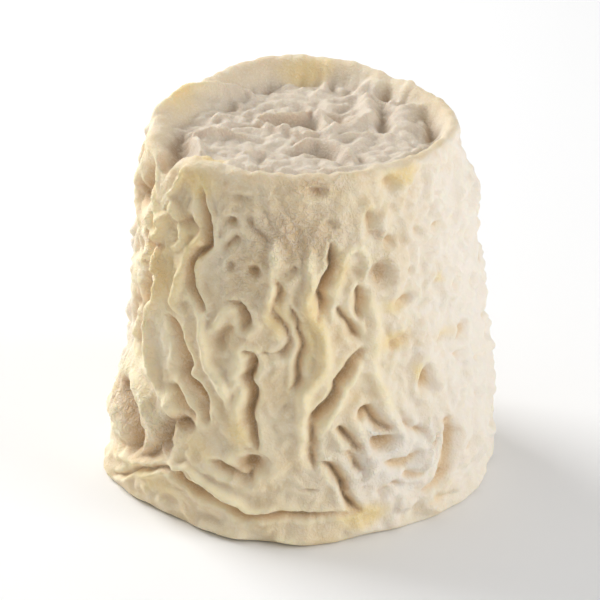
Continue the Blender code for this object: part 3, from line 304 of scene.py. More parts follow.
# ridges of the top, in plan: half width, height, and (x, y) along each
topRidges = {
    "front lip": (1.0, 1.0, (
        (-18.5, -13.5), (-14, -15.5), (-9, -18.6), (0, -20.8), (7, -20.2), (13, -17), (18, -11.5),
    )),
    "forked ridge": (1.2, 1.6, (
        (1, -4.6), (4.5, -4.6), (7, -1.6), (10, 0.2), (11, 4), (10.4, 9), (11, 11.3), (14.5, 9.3),
    )),
    "right lump": (1.7, 1.2, ((16.5, -5), (15.3, 1), (16.8, 6.2), (19.3, 5.5))),
    "terrace edge": (0.75, 2.0, ((-7, 2), (-2, 1.8), (1.5, 3.6), (3.2, 1.5), (4.5, -2.5))),
    "flow line": (0.6, 1.5, ((-7, 1.8), (-4.5, -1.5), (-1.5, -4), (0.3, -5.6))),
    "middle lobe": (0.8, 1.7, ((-1, -9.5), (2.5, -8.7), (5.2, -11), (8.5, -15.5))),
    "left lobe edge": (0.7, 1.8, ((-8, -5.5), (-12, -5.2), (-16.2, -5.2), (-15.7, -9.5), (-14.5, -13.5))),
    "left lumps": (1.2, 1.1, ((-12.5, 3.5), (-11.5, 0), (-11.8, -3.2))),
    "back spur": (0.8, 0.8, ((3.6, 13), (4, 17), (4.2, 21))),
    "back right spur": (0.8, 1.0, ((15.5, 10), (17.5, 13), (19, 16.5))),
    "back right lump": (1.4, 1.3, ((9.5, 13.5), (11, 15.2), (12.5, 13))),
    "left inner fold": (1.2, 2.4, (
        (-23.2, 0.5), (-20.9, 5.1), (-18, 9), (-14.8, 11.2), (-11.1, 12.6), (-8.2, 13.4),
    )),
    "right terrace": (0.7, 0.8, ((4, -7), (8.5, -4.5), (12.5, -4.8), (17, -8.8))),
    "front pleat": (0.6, 0.7, ((-11.5, -11.5), (-8.5, -13), (-4.5, -11.5))),
}

# creases of the top: half width, depth, and where each runs
topCreases = {
    "left trough": (0.9, 1.2, ((-22.4, 6.2), (-19.4, 10.6), (-16, 13.4), (-12, 15), (-7.5, 16.6))),
    "behind the fork": (0.8, 1.2, ((12.4, 1), (13, 5), (12.6, 8.5))),
    "before the fork": (0.7, 1.6, ((-1, 2.8), (2, 5.4), (5.5, 5.2), (8.2, 3))),
    "under the terrace": (0.6, 1.4, ((-9, 0.4), (-5, 0), (-1, 1.6), (1.6, 0.4), (3, -3))),
    "round the lobe": (0.6, 1.3, ((-2.6, -11), (1.5, -10.6), (4.4, -12.6), (7, -16.6))),
    "inside the right rim": (0.9, 0.9, ((21, -7), (21.3, -2), (20.2, 4), (18.4, 9.5))),
    "inside the back rim": (0.8, 0.7, ((14.5, 14.8), (10, 17.8), (3, 19.3), (-4, 18.9))),
    "inside the left rim": (0.9, 0.9, ((-19.3, -13), (-20.6, -8), (-20, -2.5), (-17.2, 3), (-14, 6.8))),
}

# hollows of the top: x, y, half width, half depth, depth
topHollows = (
    (-18.6, -9.0, 1.9, 5.0, 2.6), (-17.5, 1.0, 1.6, 3.4, 1.0), (0.3, 6.0, 1.8, 3.0, 1.3),
    (7.0, 3.0, 1.6, 3.4, 1.2), (13.0, -0.5, 1.0, 3.6, 1.2), (20.3, -1.5, 1.0, 5.6, 2.0),
    (13.8, 13.0, 1.3, 3.0, 1.3), (-5.2, 17.5, 1.5, 2.2, 1.1), (6.6, 7.2, 1.2, 1.5, 0.6),
    (-13.5, -4.0, 1.2, 0.7, 0.8), (9.0, -13.0, 1.0, 2.4, 0.6), (0.4, 20.2, 1.0, 1.2, 0.8),
    (-4.0, -14.0, 0.9, 2.5, 0.4), (2.2, -13.0, 1.2, 2.0, 0.4), (-6.3, -14.0, 0.8, 1.6, 0.4),
    (-11.0, 8.0, 1.4, 3.0, 0.6), (5.3, 17.5, 0.8, 2.4, 0.9), (9.7, 18.6, 0.9, 2.0, 0.8),
)

# the unseen half is wrinkled by the same rule from a fixed seed
backHalf = {
    "seed": 11,
    "span": (96, 278),
    "pitch": 7.5,
    "furrowTop": (51, 58),
    "furrowFoot": 10,
    "gap": (1.5, 4.5),
    "foldShare": 0.55,
    "pits": 60,
}


def smooth(t):
    t = np.clip(t, 0.0, 1.0)
    return t * t * (3 - 2 * t)


# the value of a table of (azimuth, value), running on past the back
def roundAzimuth(az, table):
    at, value = np.array(table, float).T
    at = np.concatenate([at - 360, at, at + 360])
    value = np.tile(value, 3)
    low = np.clip(np.searchsorted(at, az) - 1, 0, len(at) - 2)
    share = smooth((az - at[low]) / (at[low + 1] - at[low]))
    return value[low] * (1 - share) + value[low + 1] * share


def apart(az, centre):
    return (az - centre + 180) % 360 - 180


def bodyRadius(az, height):
    radius = np.interp(height, *np.array(cheese["taper"], float).T)
    for centre, level, halfWidth, halfHeight, rise in cheese["swellings"].values():
        near = np.exp(-((apart(az, centre) / halfWidth) ** 2) - ((height - level) / halfHeight) ** 2)
        radius = radius + rise * near
    atFoot = smooth(1 - height / cheese["footHeight"])
    atRim = smooth((height - cheese["height"]) / cheese["shoulderHeight"] + 1)
    radius = radius + (roundAzimuth(az, cheese["footOutline"]) - radius) * atFoot
    return radius + (roundAzimuth(az, cheese["rimOutline"]) - radius) * atRim


# an even curve through the points
def curveThrough(points, steps=10):
    p = np.array(points, float)
    p = np.vstack([2 * p[0] - p[1], p, 2 * p[-1] - p[-2]])
    t = np.linspace(0, 1, steps, endpoint=False)[:, None]
    rows = []
    for a, b, c, d in zip(p, p[1:], p[2:], p[3:]):
        bend = (2 * a - 5 * b + 4 * c - d) * t**2 + (3 * b - a - 3 * c + d) * t**3
        rows.append(0.5 * (2 * b + (c - a) * t + bend))
    return np.vstack([*rows, p[-2:-1]])


# how strong a route is at each point, 1 on it and 0 away from it, and how strong the lips beside it are;
# it tapers to its ends, and a positive lean makes its left slope gentler
def alongRoute(across, up, route, halfWidth, manner, lean=0.0):
    line = curveThrough(route)
    reach = 5.0 * halfWidth
    low = line.min(0) - reach
    high = line.max(0) + reach
    near = np.flatnonzero((across > low[0]) & (across < high[0]) & (up > low[1]) & (up < high[1]))
    strength = np.zeros(len(across))
    lips = np.zeros(len(across))
    if not len(near):
        return strength, lips
    share = np.linspace(0, 1, len(line))
    taper = np.sqrt(np.clip(np.minimum(share, 1 - share) / cutting["endTaper"], 0, 1))
    way = np.gradient(line, axis=0)
    way /= np.hypot(*way.T)[:, None]
    right = across[near, None] - line[:, 0]
    above = up[near, None] - line[:, 1]
    side = np.tanh((way[:, 0] * above - way[:, 1] * right) / (0.5 * halfWidth))
    width = halfWidth * (0.55 + 0.45 * taper) * (1 + lean * side)
    spread = (right**2 + above**2) / width**2
    crease = np.exp(-(spread ** manner["sharpness"]))
    shoulder = np.exp(-spread / manner["shoulderWidth"] ** 2)
    profile = (1 - manner["shoulder"]) * crease + manner["shoulder"] * shoulder
    strength[near] = (profile * (0.35 + 0.65 * taper)).max(1)
    beside = (np.exp(-spread / cutting["lipWidth"] ** 2) * (0.35 + 0.65 * taper)).max(1)
    lips[near] = 4 * beside * (1 - beside)
    return strength, lips


# several reliefs as one, without a crease where they meet
def joined(strengths):
    return sum(strength ** cutting["joining"] for strength in strengths) ** (1 / cutting["joining"])


def inArc(route):
    return [(az * arc, height) for az, height in route]


# lines that wander down the unseen half, with breaks in them
def backLines(seed, aside=0.0):
    draw = random.Random(seed)
    foot = backHalf["furrowFoot"]
    for az in np.arange(*backHalf["span"], backHalf["pitch"]) + aside:
        height = draw.uniform(*backHalf["furrowTop"])
        az = az + draw.uniform(-2, 2)
        while height > foot + 4:
            route = [(az, height)]
            for _ in range(draw.randint(2, 5)):
                az = az + draw.uniform(-4.2, 4.2)
                height = max(height - draw.uniform(2.4, 4.6), foot)
                route.append((az, height))
            yield draw.uniform(0.6, 1.05), draw.uniform(1.1, 2.3), draw.uniform(-0.4, 0.4), route
            height = height - draw.uniform(*backHalf["gap"])
            az = az + draw.uniform(-2.5, 2.5)
    around = [(az, 6.8 + draw.uniform(-1.6, 1.8)) for az in np.arange(88, 300, 11)]
    yield 0.7, 1.6, 0.0, around


def backPits():
    draw = random.Random(backHalf["seed"] + 1)
    for _ in range(backHalf["pits"]):
        place = (draw.uniform(72, 276), draw.uniform(10, 58))
        yield *place, draw.uniform(0.7, 1.6), draw.uniform(0.6, 1.3), draw.uniform(0.4, 1.2)


# a fine unevenness of about this size
def crumble(points, size, amount):
    return np.array([noise.noise(Vector(p) / size) for p in points]) * amount


# rounded swellings with creases between them, drawn out upwards by their stretch
def billow(points, size, amount, stretch):
    drawnOut = points / size * np.array((1.0, 1.0, 1 / stretch))
    bent = [noise.noise(Vector(p) + 0.5 * noise.noise_vector(Vector(p) * 0.7)) for p in drawnOut]
    return amount * (2.4 * np.abs(np.array(bent)) - 0.45)


# small rounded lumps packed side by side
def packedCurds(points, size, amount):
    nearest = np.array([noise.voronoi(Vector(p) / size)[0][0] for p in points])
    return amount * (0.5 - np.minimum(nearest, 1.0) ** 2)


# how far the side's skin is raised by folds, and how far it is cut by furrows and pits
def sideRelief(az, height):
    place = np.stack([az * arc, height, np.zeros(len(az))], -1)
    across = place[:, 0] + crumble(place + 20, cutting["wobbleSize"], cutting["wobble"])
    up = height + crumble(place + 40, cutting["wobbleSize"], cutting["wobble"])
    acrossBack = np.where(across < 0, across + 360 * arc, across)
    turned = np.radians(np.clip(az, -cutting["seenTo"], cutting["seenTo"]))
    inView = smooth((100 - np.abs(az)) / 25)

    # where each point shows when it lies this much deeper than the plain side
    def seen(depth):
        below = (cutting["seenOutside"] + depth) * inView
        rises = math.tan(math.radians(cutting["seenFrom"])) / np.cos(turned)
        return across - np.tan(turned) * below, up + rises * below

    raised = []
    cuts = []
    frontCuts = [(*seen(cut[1]), cut) for cut in furrows.values()]
    backCuts = [(acrossBack, up, cut) for cut in backLines(backHalf["seed"])]
    for girth, level, (halfWidth, depth, lean, route) in frontCuts + backCuts:
        crease, lips = alongRoute(girth, level, inArc(route), halfWidth, cutting["furrow"], lean)
        cuts.append(depth * crease)
        raised.append(cutting["lip"] * depth * lips)
    for halfWidth, rise, lean, route in folds.values():
        raised.append(rise * alongRoute(*seen(-rise), inArc(route), halfWidth, cutting["fold"], lean)[0])
    for halfWidth, depth, lean, route in backLines(backHalf["seed"] + 2, backHalf["pitch"] / 2):
        fold = alongRoute(acrossBack, up, inArc(route), halfWidth, cutting["fold"], lean)[0]
        raised.append(backHalf["foldShare"] * depth * fold)
    for centre, level, halfWidth, halfHeight, drawnDepth in [*pits, *backPits()]:
        depth = cutting["pitStrength"] * drawnDepth
        girth, rises = (acrossBack, up) if centre > 90 else seen(depth)
        out = np.sqrt(((girth - centre * arc) / halfWidth) ** 2 + ((rises - level) / halfHeight) ** 2)
        cuts.append(depth * np.exp(-(out**2)))
        raised.append(cutting["pitRim"] * depth * np.exp(-(((out - 1.9) / 0.7) ** 2)))
    return joined(raised), joined(cuts)


def topRelief(x, y):
    place = np.stack([x, y, np.zeros(len(x))], -1)
    across = x + crumble(place + 60, cutting["wobbleSize"], cutting["wobble"])
    back = y + crumble(place + 80, cutting["wobbleSize"], cutting["wobble"])
    raised = []
    cuts = []
    for halfWidth, rise, route in topRidges.values():
        raised.append(rise * alongRoute(across, back, route, halfWidth, cutting["fold"])[0])
    for halfWidth, depth, route in topCreases.values():
        cuts.append(depth * alongRoute(across, back, route, halfWidth, cutting["furrow"])[0])
    for atX, atY, halfWidth, halfDepth, depth in topHollows:
        cuts.append(depth * np.exp(-(((across - atX) / halfWidth) ** 2) - ((back - atY) / halfDepth) ** 2))
    return joined(raised), joined(cuts)


# radius and height of the plain drum's outline, from the middle of the base out, up and in
def section(spacing):
    sole = cheese["baseRadius"] - cheese["toeRounding"]
    lid = cheese["baseRadius"] - cheese["edgeRounding"]
    top = cheese["height"] - cheese["edgeRounding"]
    outline = [(0.0, 0.0)]
    for degrees in range(0, 91, 30):
        a = math.radians(degrees)
        outline.append((sole + cheese["toeRounding"] * math.sin(a), cheese["toeRounding"] * (1 - math.cos(a))))
    rises = round((top - cheese["toeRounding"]) / spacing)
    outline += [(cheese["baseRadius"], z) for z in np.linspace(cheese["toeRounding"], top, rises)[1:-1]]
    for degrees in range(0, 91, 15):
        a = math.radians(degrees)
        outline.append((lid + cheese["edgeRounding"] * math.cos(a), top + cheese["edgeRounding"] * math.sin(a)))
    outline += [(r, cheese["height"]) for r in np.linspace(lid, 0, round(lid / spacing))[1:]]
    return outline


def makeDrum(spacing):
    drum = bmesh.new()
    verts = [drum.verts.new((0.0, -radius, z)) for radius, z in section(spacing)]
    edges = [drum.edges.new(pair) for pair in zip(verts, verts[1:])]
    turns = cheese["corners"] * round(2 * math.pi * cheese["baseRadius"] / spacing / cheese["corners"])
    bmesh.ops.spin(
        drum, geom=verts + edges, cent=(0, 0, 0), axis=(0, 0, 1), dvec=(0, 0, 0),
        angle=2 * math.pi, steps=turns, use_merge=True, use_duplicate=False,
    )
    bmesh.ops.remove_doubles(drum, verts=drum.verts, dist=1e-4)
    lid = [v for v in drum.verts if v.co.z > cheese["height"] - 1e-4]
    bmesh.ops.remove_doubles(drum, verts=lid, dist=0.55 * spacing)
    bmesh.ops.recalc_face_normals(drum, faces=drum.faces)
    return drum


# where each point of the drum lies in the cheese, and what its place is like
def shaped(points):
    height = cheese["height"]
    x, y, z = points.T
    out = np.hypot(x, y)
    az = np.degrees(np.arctan2(x, -y))
    isUpper = z > height / 2
    rounding = np.where(isUpper, cheese["edgeRounding"], cheese["toeRounding"])
    outward = np.clip((out - cheese["baseRadius"]) / rounding + 1, 0, 1)
    upward = np.clip((z - height) / cheese["edgeRounding"] + 1, 0, 1)

    local = bodyRadius(az, z)
    sole = local * (1 - cheese["toeRounding"] / cheese["baseRadius"])
    drawnIn = sole * (1 - cheese["drawnIn"] * (1 - np.abs(np.cos(np.radians(az) * cheese["corners"] / 2))))
    atToe = drawnIn + outward * (local - drawnIn)
    radius = np.where((out == 0) | isUpper, out / cheese["baseRadius"] * local, atToe)
    px = radius * np.sin(np.radians(az))
    py = -radius * np.cos(np.radians(az))

    rim = roundAzimuth(az, cheese["rimHeights"])
    inDish = smooth((local - radius - cheese["rimWidth"]) / roundAzimuth(az, cheese["dishSlopes"]))
    floor = cheese["floorHeight"] - cheese["floorFallToBack"] * py
    lumps = crumble(points + 50, cheese["lumpSize"], cheese["lumps"])
    lumps = lumps + packedCurds(points, cheese["curdSize"], cheese["curds"])
    topRaised, topCut = topRelief(px, py)
    inFront = smooth((cheese["frontEdge"] - np.abs(az)) / 30)
    atEdge = cheese["edgeLumps"] + (cheese["frontEdgeLumps"] - cheese["edgeLumps"]) * inFront
    lumps = lumps * (atEdge + (1 - atEdge) * inDish**3)
    rough = (0.6 + 0.4 * inDish) * (topRaised - topCut) + lumps
    onTop = z - height + rim + (floor - rim) * inDish + rough * smooth(2.2 * upward - 0.5)
    onSide = z + (rim - height) * smooth((z - 40) / (height - 40))
    level = np.where(upward > 0, onTop, onSide)

    raised, cut = sideRelief(az, z)
    calmFrom, calmTo = cheese["calmSpan"]
    calm = cheese["calm"] * smooth((az - calmFrom) / 20 + 1) * smooth((calmTo - az) / 20 + 1)
    large = billow(points, cheese["billowSize"], cheese["billows"], 1.3) * (1 - calm)
    small = billow(points + 30, cheese["smallBillowSize"], cheese["smallBillows"], 1.1) * (1 - 0.4 * calm)
    footLumps = crumble(points + 90, cheese["footLumpSize"], cheese["footLumps"])
    pebbles = crumble(points + 11, cheese["pebbleSize"], cheese["pebbles"])
    grain = crumble(points + 7, cheese["grainSize"], cheese["grain"]) + pebbles * (0.5 + 0.5 * smooth((30 - az) / 20))
    billows = (large + small) * smooth((height - z) / cheese["rimCalm"])
    skin = raised - cut + billows + crumble(points, 3.1, cheese["unevenness"]) + grain
    skin = skin + footLumps * smooth(1 - z / cheese["footLumpReach"])
    radius = radius + skin * outward * smooth(z / 1.6)
    sideways = smooth(1 - 2 * upward)
    looks = {
        # furrowed: how deep furrows, pits and the hollows between billows and curds are cut; the mask for the painted
        # shade in them
        "furrowed": (cut - 0.8 * (large + small)) * sideways + (topCut - lumps) * (1 - sideways),
        # raised: how high folds and top ridges stand; it also carries the painted highlight on them
        "raised": raised * sideways + topRaised * (1 - sideways),
        "topSide": smooth((local - radius) / 1.2) * smooth(2 * upward - 0.4),
        "inDish": inDish * smooth(2 * upward - 0.4),
        "azimuth": az,
        "level": z,
    }
    place = np.stack([radius * np.sin(np.radians(az)), -radius * np.cos(np.radians(az)), np.maximum(level, 0)], -1)
    return place, looks


# the solid's own box keeps the fine mesh inside it
def insideSolid(places):
    low, high = (np.array(corner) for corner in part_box("cheese"))
    return np.clip(places, low, high)


# where the rind has ripened yellow: azimuth, height, half width, half height, strength
yellowPlaces = {
    "front left rim": (-38, 56.5, 4.5, 3.0, 1.0),
    "front right rim": (38, 58, 5.0, 2.2, 0.9),
    "right rim strip": (24, 53.5, 1.6, 3.0, 0.5),
    "front left ribbons": (-50, 42, 6.0, 10.0, 0.6),
    "boot": (-8, 37, 3.0, 4.0, 0.7),
    "middle ribbon": (4, 35, 2.6, 9.0, 0.7),
    "heel": (-20, 18, 3.0, 4.0, 0.7),
    "palm": (-38, 46, 3.0, 7.0, 0.6),
    "cuff": (-33, 14, 4.0, 3.0, 0.6),
    "right elbow": (14, 44, 2.4, 4.0, 0.6),
    "shelf": (32, 32, 4.0, 2.2, 0.8),
    "upper shelf": (32.5, 37.5, 3.4, 1.6, 0.7),
    "dimple": (40, 26, 1.6, 2.2, 0.7),
    "right pits": (54, 30, 4.0, 1.6, 0.6),
    "right knot": (52, 39.5, 1.8, 1.5, 0.7),
    "left foot": (-50, 5, 8.0, 3.0, 0.7),
    "right foot": (20, 4.0, 5.0, 2.6, 1.0),
    "far right foot": (47, 3.6, 4.0, 1.2, 0.5),
    "back foot": (170, 4, 16.0, 3.0, 0.7),
    "back rim": (205, 56, 12.0, 3.0, 0.7),
    "back ribbons": (140, 36, 8.0, 10.0, 0.5),
    "back left ribbons": (240, 28, 8.0, 9.0, 0.5),
}

# the same on the top: x, y, half width, half depth, strength
yellowOnTop = {
    "inside the back rim": (1, 21, 7.0, 2.4, 0.8),
    "inside the left rim": (-19, 7, 4.0, 7.0, 0.6),
    "front left corner": (-14, -17, 4.0, 3.0, 0.7),
    "right rim": (20, 4, 3.0, 6.0, 0.4),
}

# where it is tanned: azimuth, height, half width, half height, strength; the left hollows, left foot hollows and lobe
# hollows entries are painted shade in the hollows of the left side, not tan
tanAndHollowShadePlaces = {
    "upper front": (-4, 50, 11.0, 6.0, 0.9),
    "front edge": (6, 58, 5.0, 1.6, 0.9),
    "brow": (-20, 44, 5.0, 6.0, 0.6),
    "left hollows": (-60, 40, 7.0, 13.0, 0.5),
    "left foot hollows": (-56, 15, 7.0, 6.0, 1.0),
    "lobe hollows": (-73, 14, 6.0, 6.0, 0.9),
    "elbow": (27, 44, 2.6, 3.0, 0.9),
    "below the rim": (29.5, 49, 1.6, 1.8, 0.8),
    "lower front": (16, 14, 7.0, 6.0, 0.5),
    "under the arm": (24, 17.3, 3.0, 1.8, 0.9),
    "upright": (45.5, 15, 1.6, 4.0, 0.6),
    "back": (185, 46, 12.0, 7.0, 0.7),
    "back right": (130, 20, 9.0, 7.0, 0.5),
}

# where the white bloom is thickest: azimuth, height, half width, half height, strength
bloomPlaces = {
    "right side": (76, 30, 25.0, 60.0, 1.0),
    "lower right": (34, 12, 13.0, 12.0, 1.0),
    "corner of the foot": (28, 3, 8.0, 4.0, 0.8),
    "left side": (-102, 34, 11.0, 40.0, 0.8),
    "lower front": (2, 20, 5.0, 8.0, 0.2),
    "back": (160, 26, 16.0, 16.0, 0.5),
}


# how strongly a set of places shows at each point of the side
def onSide(places, az, level):
    shown = np.zeros(len(az))
    for centre, height, halfWidth, halfHeight, strength in places.values():
        aside = apart(az, centre) * arc / halfWidth
        shown = np.maximum(shown, strength * np.exp(-(aside**2) - ((level - height) / halfHeight) ** 2))
    return shown


def onTop(places, x, y):
    shown = np.zeros(len(x))
    for atX, atY, halfWidth, halfDepth, strength in places.values():
        near = np.exp(-(((x - atX) / halfWidth) ** 2) - ((y - atY) / halfDepth) ** 2)
        shown = np.maximum(shown, strength * near)
    return shown


# one number or colour of a material; sums written with it add their nodes
class Tone:
    tree = None

    def __init__(self, socket):
        self.socket = socket

    @classmethod
    def node(cls, kind, settings, sockets, output=0):
        made = cls.tree.nodes.new(kind)
        for name, value in settings.items():
            setattr(made, name, value)
        for name, value in sockets.items():
            if isinstance(value, Tone):
                cls.tree.links.new(value.socket, made.inputs[name])
            else:
                made.inputs[name].default_value = value
        return cls(made.outputs[output])

    @classmethod
    def maths(cls, operation, a, b):
        return cls.node("ShaderNodeMath", {"operation": operation}, {0: a, 1: b})

    def __add__(self, other):
        return Tone.maths("ADD", self, other)

    def __radd__(self, other):
        return Tone.maths("ADD", other, self)

    def __sub__(self, other):
        return Tone.maths("SUBTRACT", self, other)

    def __rsub__(self, other):
        return Tone.maths("SUBTRACT", other, self)

    def __mul__(self, other):
        return Tone.maths("MULTIPLY", self, other)

    def __rmul__(self, other):
        return Tone.maths("MULTIPLY", other, self)

    def __abs__(self):
        return Tone.maths("ABSOLUTE", self, 0.0)


def startMaterial(name):
    material = bpy.data.materials.new(name)
    material.use_nodes = True
    Tone.tree = material.node_tree
    return material, material.node_tree.nodes["Principled BSDF"]


def attribute(name):
    return Tone.node("ShaderNodeAttribute", {"attribute_name": name}, {}, "Fac")


# 0 below low, 1 above high, and an even curve between
def rampUp(value, low, high):
    sockets = {"Value": value, "From Min": low, "From Max": high}
    return Tone.node("ShaderNodeMapRange", {"interpolation_type": "SMOOTHSTEP"}, sockets)


def mixed(share, under, over):
    return Tone.node("ShaderNodeMix", {"data_type": "RGBA"}, {0: share, 6: under, 7: over}, 2)


# sizes are in millimetres
def cloudy(place, size, detail=2.0, roughness=0.5, distortion=0.0):
    sockets = {"Vector": place, "Scale": 1 / size, "Detail": detail, "Roughness": roughness, "Distortion": distortion}
    return Tone.node("ShaderNodeTexNoise", {}, sockets, 0)


def cells(place, size, feature="F1", output="Distance"):
    return Tone.node("ShaderNodeTexVoronoi", {"feature": feature}, {"Vector": place, "Scale": 1 / size}, output)


rind = {
    "cream": (0.81, 0.69, 0.48, 1),
    "warmCream": (0.77, 0.62, 0.39, 1),
    # ridge: painted highlight on the raised folds, in a yellower cream as well
    "ridge": (0.93, 0.81, 0.54, 1),
    # warm painted shade in the furrows
    "warmCreaseShade": (0.78, 0.56, 0.34, 1),
    "bloom": (0.86, 0.79, 0.69, 1),
    "butter": (0.84, 0.66, 0.33, 1),
    # pit: painted shade in the pits of the white bloom, a warmer cream
    "pit": (0.80, 0.66, 0.42, 1),
    # tan: the rind's own tan in the tanned places, and painted shade where furrows are deep
    "tan": (0.68, 0.49, 0.28, 1),
    # darker painted shade in the deepest furrows
    "deepCreaseShade": (0.52, 0.35, 0.18, 1),
    "topFlour": (0.69, 0.60, 0.48, 1),
    # topShade: painted shade in the dish and the crevices of the top
    "topShade": (0.52, 0.41, 0.30, 1),
    "speck": (0.22, 0.12, 0.06, 1),
    "patchSize": 7.0,
    "mottleSize": 1.8,
    "curlSize": 0.9,
    "velvetSize": 0.35,
    "speckSize": 9.0,
    "speckRadius": 0.02,
    "bumpDepth": 0.00035,
    "scatter": 0.3,
    "scatterReach": 0.002,
}


def makeRind():
    material, shader = startMaterial("ripened rind")
    objectPlace = Tone.node("ShaderNodeTexCoord", {}, {}, "Object")
    place = Tone.node("ShaderNodeVectorMath", {"operation": "SCALE"}, {0: objectPlace, "Scale": 1 / mm}, 0)
    furrowed = attribute("furrowed")
    raised = attribute("raised")
    topSide = attribute("topSide")
    inDish = attribute("inDish")
    yellow = attribute("yellow")
    tanAndHollowShade = attribute("tanAndHollowShade")
    bloomed = attribute("bloomed")

    patches = cloudy(place, rind["patchSize"], 3.0)
    mottle = cloudy(place, rind["mottleSize"], 4.0, 0.6)
    velvet = cloudy(place, rind["velvetSize"], 2.0, 0.6)
    curls = rampUp(1 - abs(cloudy(place, rind["curlSize"], 1.5, 0.5, 0.8) * 2 - 1) * 4, 0.0, 1.0)

    colour = mixed(rampUp(patches, 0.42, 0.62), rind["cream"], rind["warmCream"])
    # painted highlight on the raised folds and top ridges, partly their yellower cream
    colour = mixed(rampUp(raised + mottle * 0.4, 0.4, 1.6) * 0.8, colour, rind["ridge"])
    # tanned places, with painted shade in the hollows of the left side
    colour = mixed(rampUp(tanAndHollowShade * 0.8 + mottle * 0.6 - raised * 0.35, 0.35, 1.2), colour, rind["tan"])
    colour = mixed(rampUp(bloomed * 0.9 + mottle * 0.7, 0.45, 1.25), colour, rind["bloom"])
    # painted shade in the pits of the white bloom
    pitted = rampUp(furrowed + mottle * 0.5, 0.55, 1.5) * bloomed
    colour = mixed(pitted * 0.7, colour, rind["pit"])
    floury = rampUp(topSide + mottle * 0.5 - patches * 0.3, 0.3, 0.95) * (0.3 + 0.7 * inDish)
    colour = mixed(floury, colour, rind["topFlour"])
    # painted shade over the dish floor, deeper in its crevices
    colour = mixed(rampUp(inDish + furrowed * 0.5 + mottle * 0.6, 0.9, 2.1) * 0.8, colour, rind["topShade"])
    colour = mixed(rampUp(yellow + raised * 0.14 + mottle * 0.5, 0.5, 1.2), colour, rind["butter"])
    # warm painted shade in the furrows
    colour = mixed(rampUp(furrowed + patches * 0.5, 0.6, 1.5) * (1 - topSide) * 0.45, colour, rind["warmCreaseShade"])
    # sunk: how deep a furrow is, for the painted shade in furrows and on the top
    sunk = rampUp(furrowed + mottle * 0.8, 0.9, 2.3)
    colour = mixed(sunk * (1 - topSide * 0.5) * 0.85, colour, rind["tan"])
    # darker painted shade in the deepest furrows
    colour = mixed(rampUp(furrowed, 1.2, 2.4) * 0.7, colour, rind["deepCreaseShade"])
    # painted shade in the crevices between the curds of the top
    colour = mixed(sunk * topSide * 0.6, colour, rind["topShade"])
    flour = rampUp(velvet + mottle * 0.4, 0.62, 0.95)
    colour = mixed(flour * 0.35, colour, rind["bloom"])
    colour = mixed(curls * (0.06 + 0.3 * tanAndHollowShade), colour, rind["bloom"])
    specks = 1 - rampUp(cells(place, rind["speckSize"]), rind["speckRadius"], rind["speckRadius"] * 1.6)
    colour = mixed(specks * 0.7, colour, rind["speck"])

    height = velvet * 0.6 + mottle * 0.45 + curls * (0.05 + 0.8 * tanAndHollowShade)
    bump = Tone.node("ShaderNodeBump", {}, {"Height": height, "Strength": 0.75, "Distance": rind["bumpDepth"]})
    roughness = 0.62 + 0.2 * flour - 0.12 * sunk

    tree = material.node_tree
    tree.links.new(colour.socket, shader.inputs["Base Color"])
    tree.links.new(roughness.socket, shader.inputs["Roughness"])
    tree.links.new(bump.socket, shader.inputs["Normal"])
    shader.inputs["Subsurface Weight"].default_value = rind["scatter"]
    shader.inputs["Subsurface Radius"].default_value = (1.0, 0.65, 0.35)
    shader.inputs["Subsurface Scale"].default_value = rind["scatterReach"]
    shader.inputs["Specular IOR Level"].default_value = 0.3
    return material


def makeCheese():
    drum = makeDrum(cheese["spacing"])
    points = np.array([v.co for v in drum.verts])
    places, looks = shaped(points)
    places = insideSolid(places * mm)
    for vert, place in zip(drum.verts, places):
        vert.co = place
    for name in ("furrowed", "raised", "topSide", "inDish"):
        layer = drum.verts.layers.float.new(name)
        for vert, value in zip(drum.verts, looks[name]):
            vert[layer] = value
    onTopSide = looks["topSide"]
    az = looks["azimuth"]
    level = looks["level"]
    x, y = (places[:, :2] / mm).T
    patches = {
        "yellow": onSide(yellowPlaces, az, level) * (1 - onTopSide) + onTop(yellowOnTop, x, y) * onTopSide,
        # tanned places, with painted shade in the hollows of the left side
        "tanAndHollowShade": onSide(tanAndHollowShadePlaces, az, level) * (1 - onTopSide),
        "bloomed": onSide(bloomPlaces, az, level) * (1 - onTopSide),
    }
    for name, values in patches.items():
        layer = drum.verts.layers.float.new(name)
        for vert, value in zip(drum.verts, values):
            vert[layer] = value
    bmesh.ops.triangulate(drum, faces=drum.faces)
    mesh = bpy.data.meshes.new("cheeseSkin")
    drum.to_mesh(mesh)
    drum.free()
    mesh.shade_smooth()
    mesh.materials.append(makeRind())
    piece = bpy.data.objects.new("cheeseSkin", mesh)
    bpy.context.scene.collection.objects.link(piece)
    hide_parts("cheese")
    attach(piece, "root")
    print("cheese:", len(mesh.vertices), "points,", len(mesh.polygons), "triangles")
    return piece


studio = {
    "floorSize": 2.0,
    "floorTone": (0.9, 0.9, 0.9, 1),
    "skyStrength": 0.4,
    # azimuth, elevation, distance and size in metres, watts
    "lights": {
        "right window": (62, 22, 0.6, 0.35, 1.8),
        "left window": (-128, 30, 0.6, 0.35, 3.6),
        "overhead": (-80, 62, 0.7, 0.4, 0.4),
    },
    "aim": (0, 0, 0.03),
}


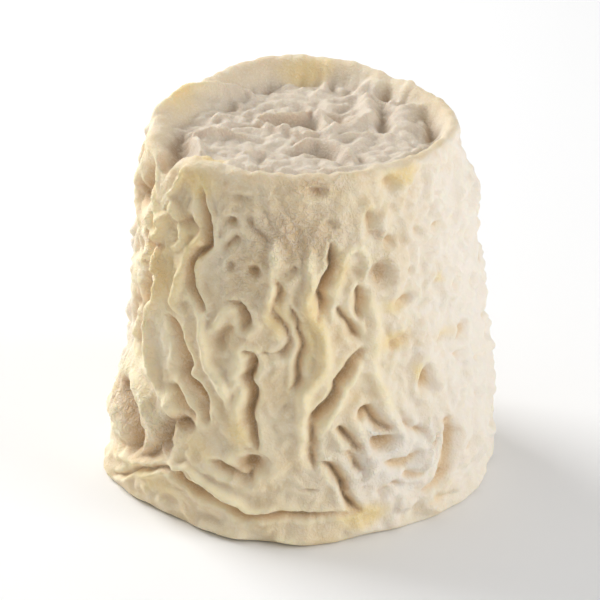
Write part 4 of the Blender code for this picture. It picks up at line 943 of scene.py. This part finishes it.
def direction(azimuth, elevation):
    a = math.radians(azimuth)
    e = math.radians(elevation)
    return Vector((math.sin(a) * math.cos(e), -math.cos(a) * math.cos(e), math.sin(e)))


def lookAt(thing, towards):
    thing.rotation_mode = "QUATERNION"
    thing.rotation_quaternion = (Vector(towards) - thing.location).to_track_quat("-Z", "Y")


def makeStudio():
    floor = bmesh.new()
    bmesh.ops.create_grid(floor, x_segments=1, y_segments=1, size=studio["floorSize"] / 2)
    mesh = bpy.data.meshes.new("floor")
    floor.to_mesh(mesh)
    floor.free()
    material, shader = startMaterial("pale floor")
    shader.inputs["Base Color"].default_value = studio["floorTone"]
    shader.inputs["Roughness"].default_value = 0.8
    mesh.materials.append(material)
    ground = bpy.data.objects.new("floor", mesh)
    bpy.context.scene.collection.objects.link(ground)
    for name, (azimuth, elevation, distance, size, watts) in studio["lights"].items():
        lamp = bpy.data.lights.new(name, "AREA")
        lamp.size = size
        lamp.energy = watts
        holder = bpy.data.objects.new(name, lamp)
        bpy.context.scene.collection.objects.link(holder)
        holder.location = direction(azimuth, elevation) * distance + Vector(studio["aim"])
        lookAt(holder, studio["aim"])
    sky = bpy.data.worlds.new("studio")
    sky.use_nodes = True
    sky.node_tree.nodes["Background"].inputs["Color"].default_value = (1, 1, 1, 1)
    sky.node_tree.nodes["Background"].inputs["Strength"].default_value = studio["skyStrength"]
    bpy.context.scene.world = sky
    bpy.context.scene.view_settings.view_transform = "Standard"
    print("studio: floor,", len(studio["lights"]), "lights and sky")


view = {
    "elevation": 25,
    "distance": 0.6,
    "lens": 228,
    "aim": (0, 0, 0.028),
}


def makeCamera():
    lens = bpy.data.cameras.new("camera")
    lens.lens = view["lens"]
    lens.sensor_width = 36
    lens.clip_start = 0.01
    lens.clip_end = 10
    holder = bpy.data.objects.new("camera", lens)
    bpy.context.scene.collection.objects.link(holder)
    holder.location = Vector(view["aim"]) + direction(0, view["elevation"]) * view["distance"]
    lookAt(holder, view["aim"])
    bpy.context.scene.camera = holder
    print("camera: in place")


makeCheese()
makeStudio()
makeCamera()
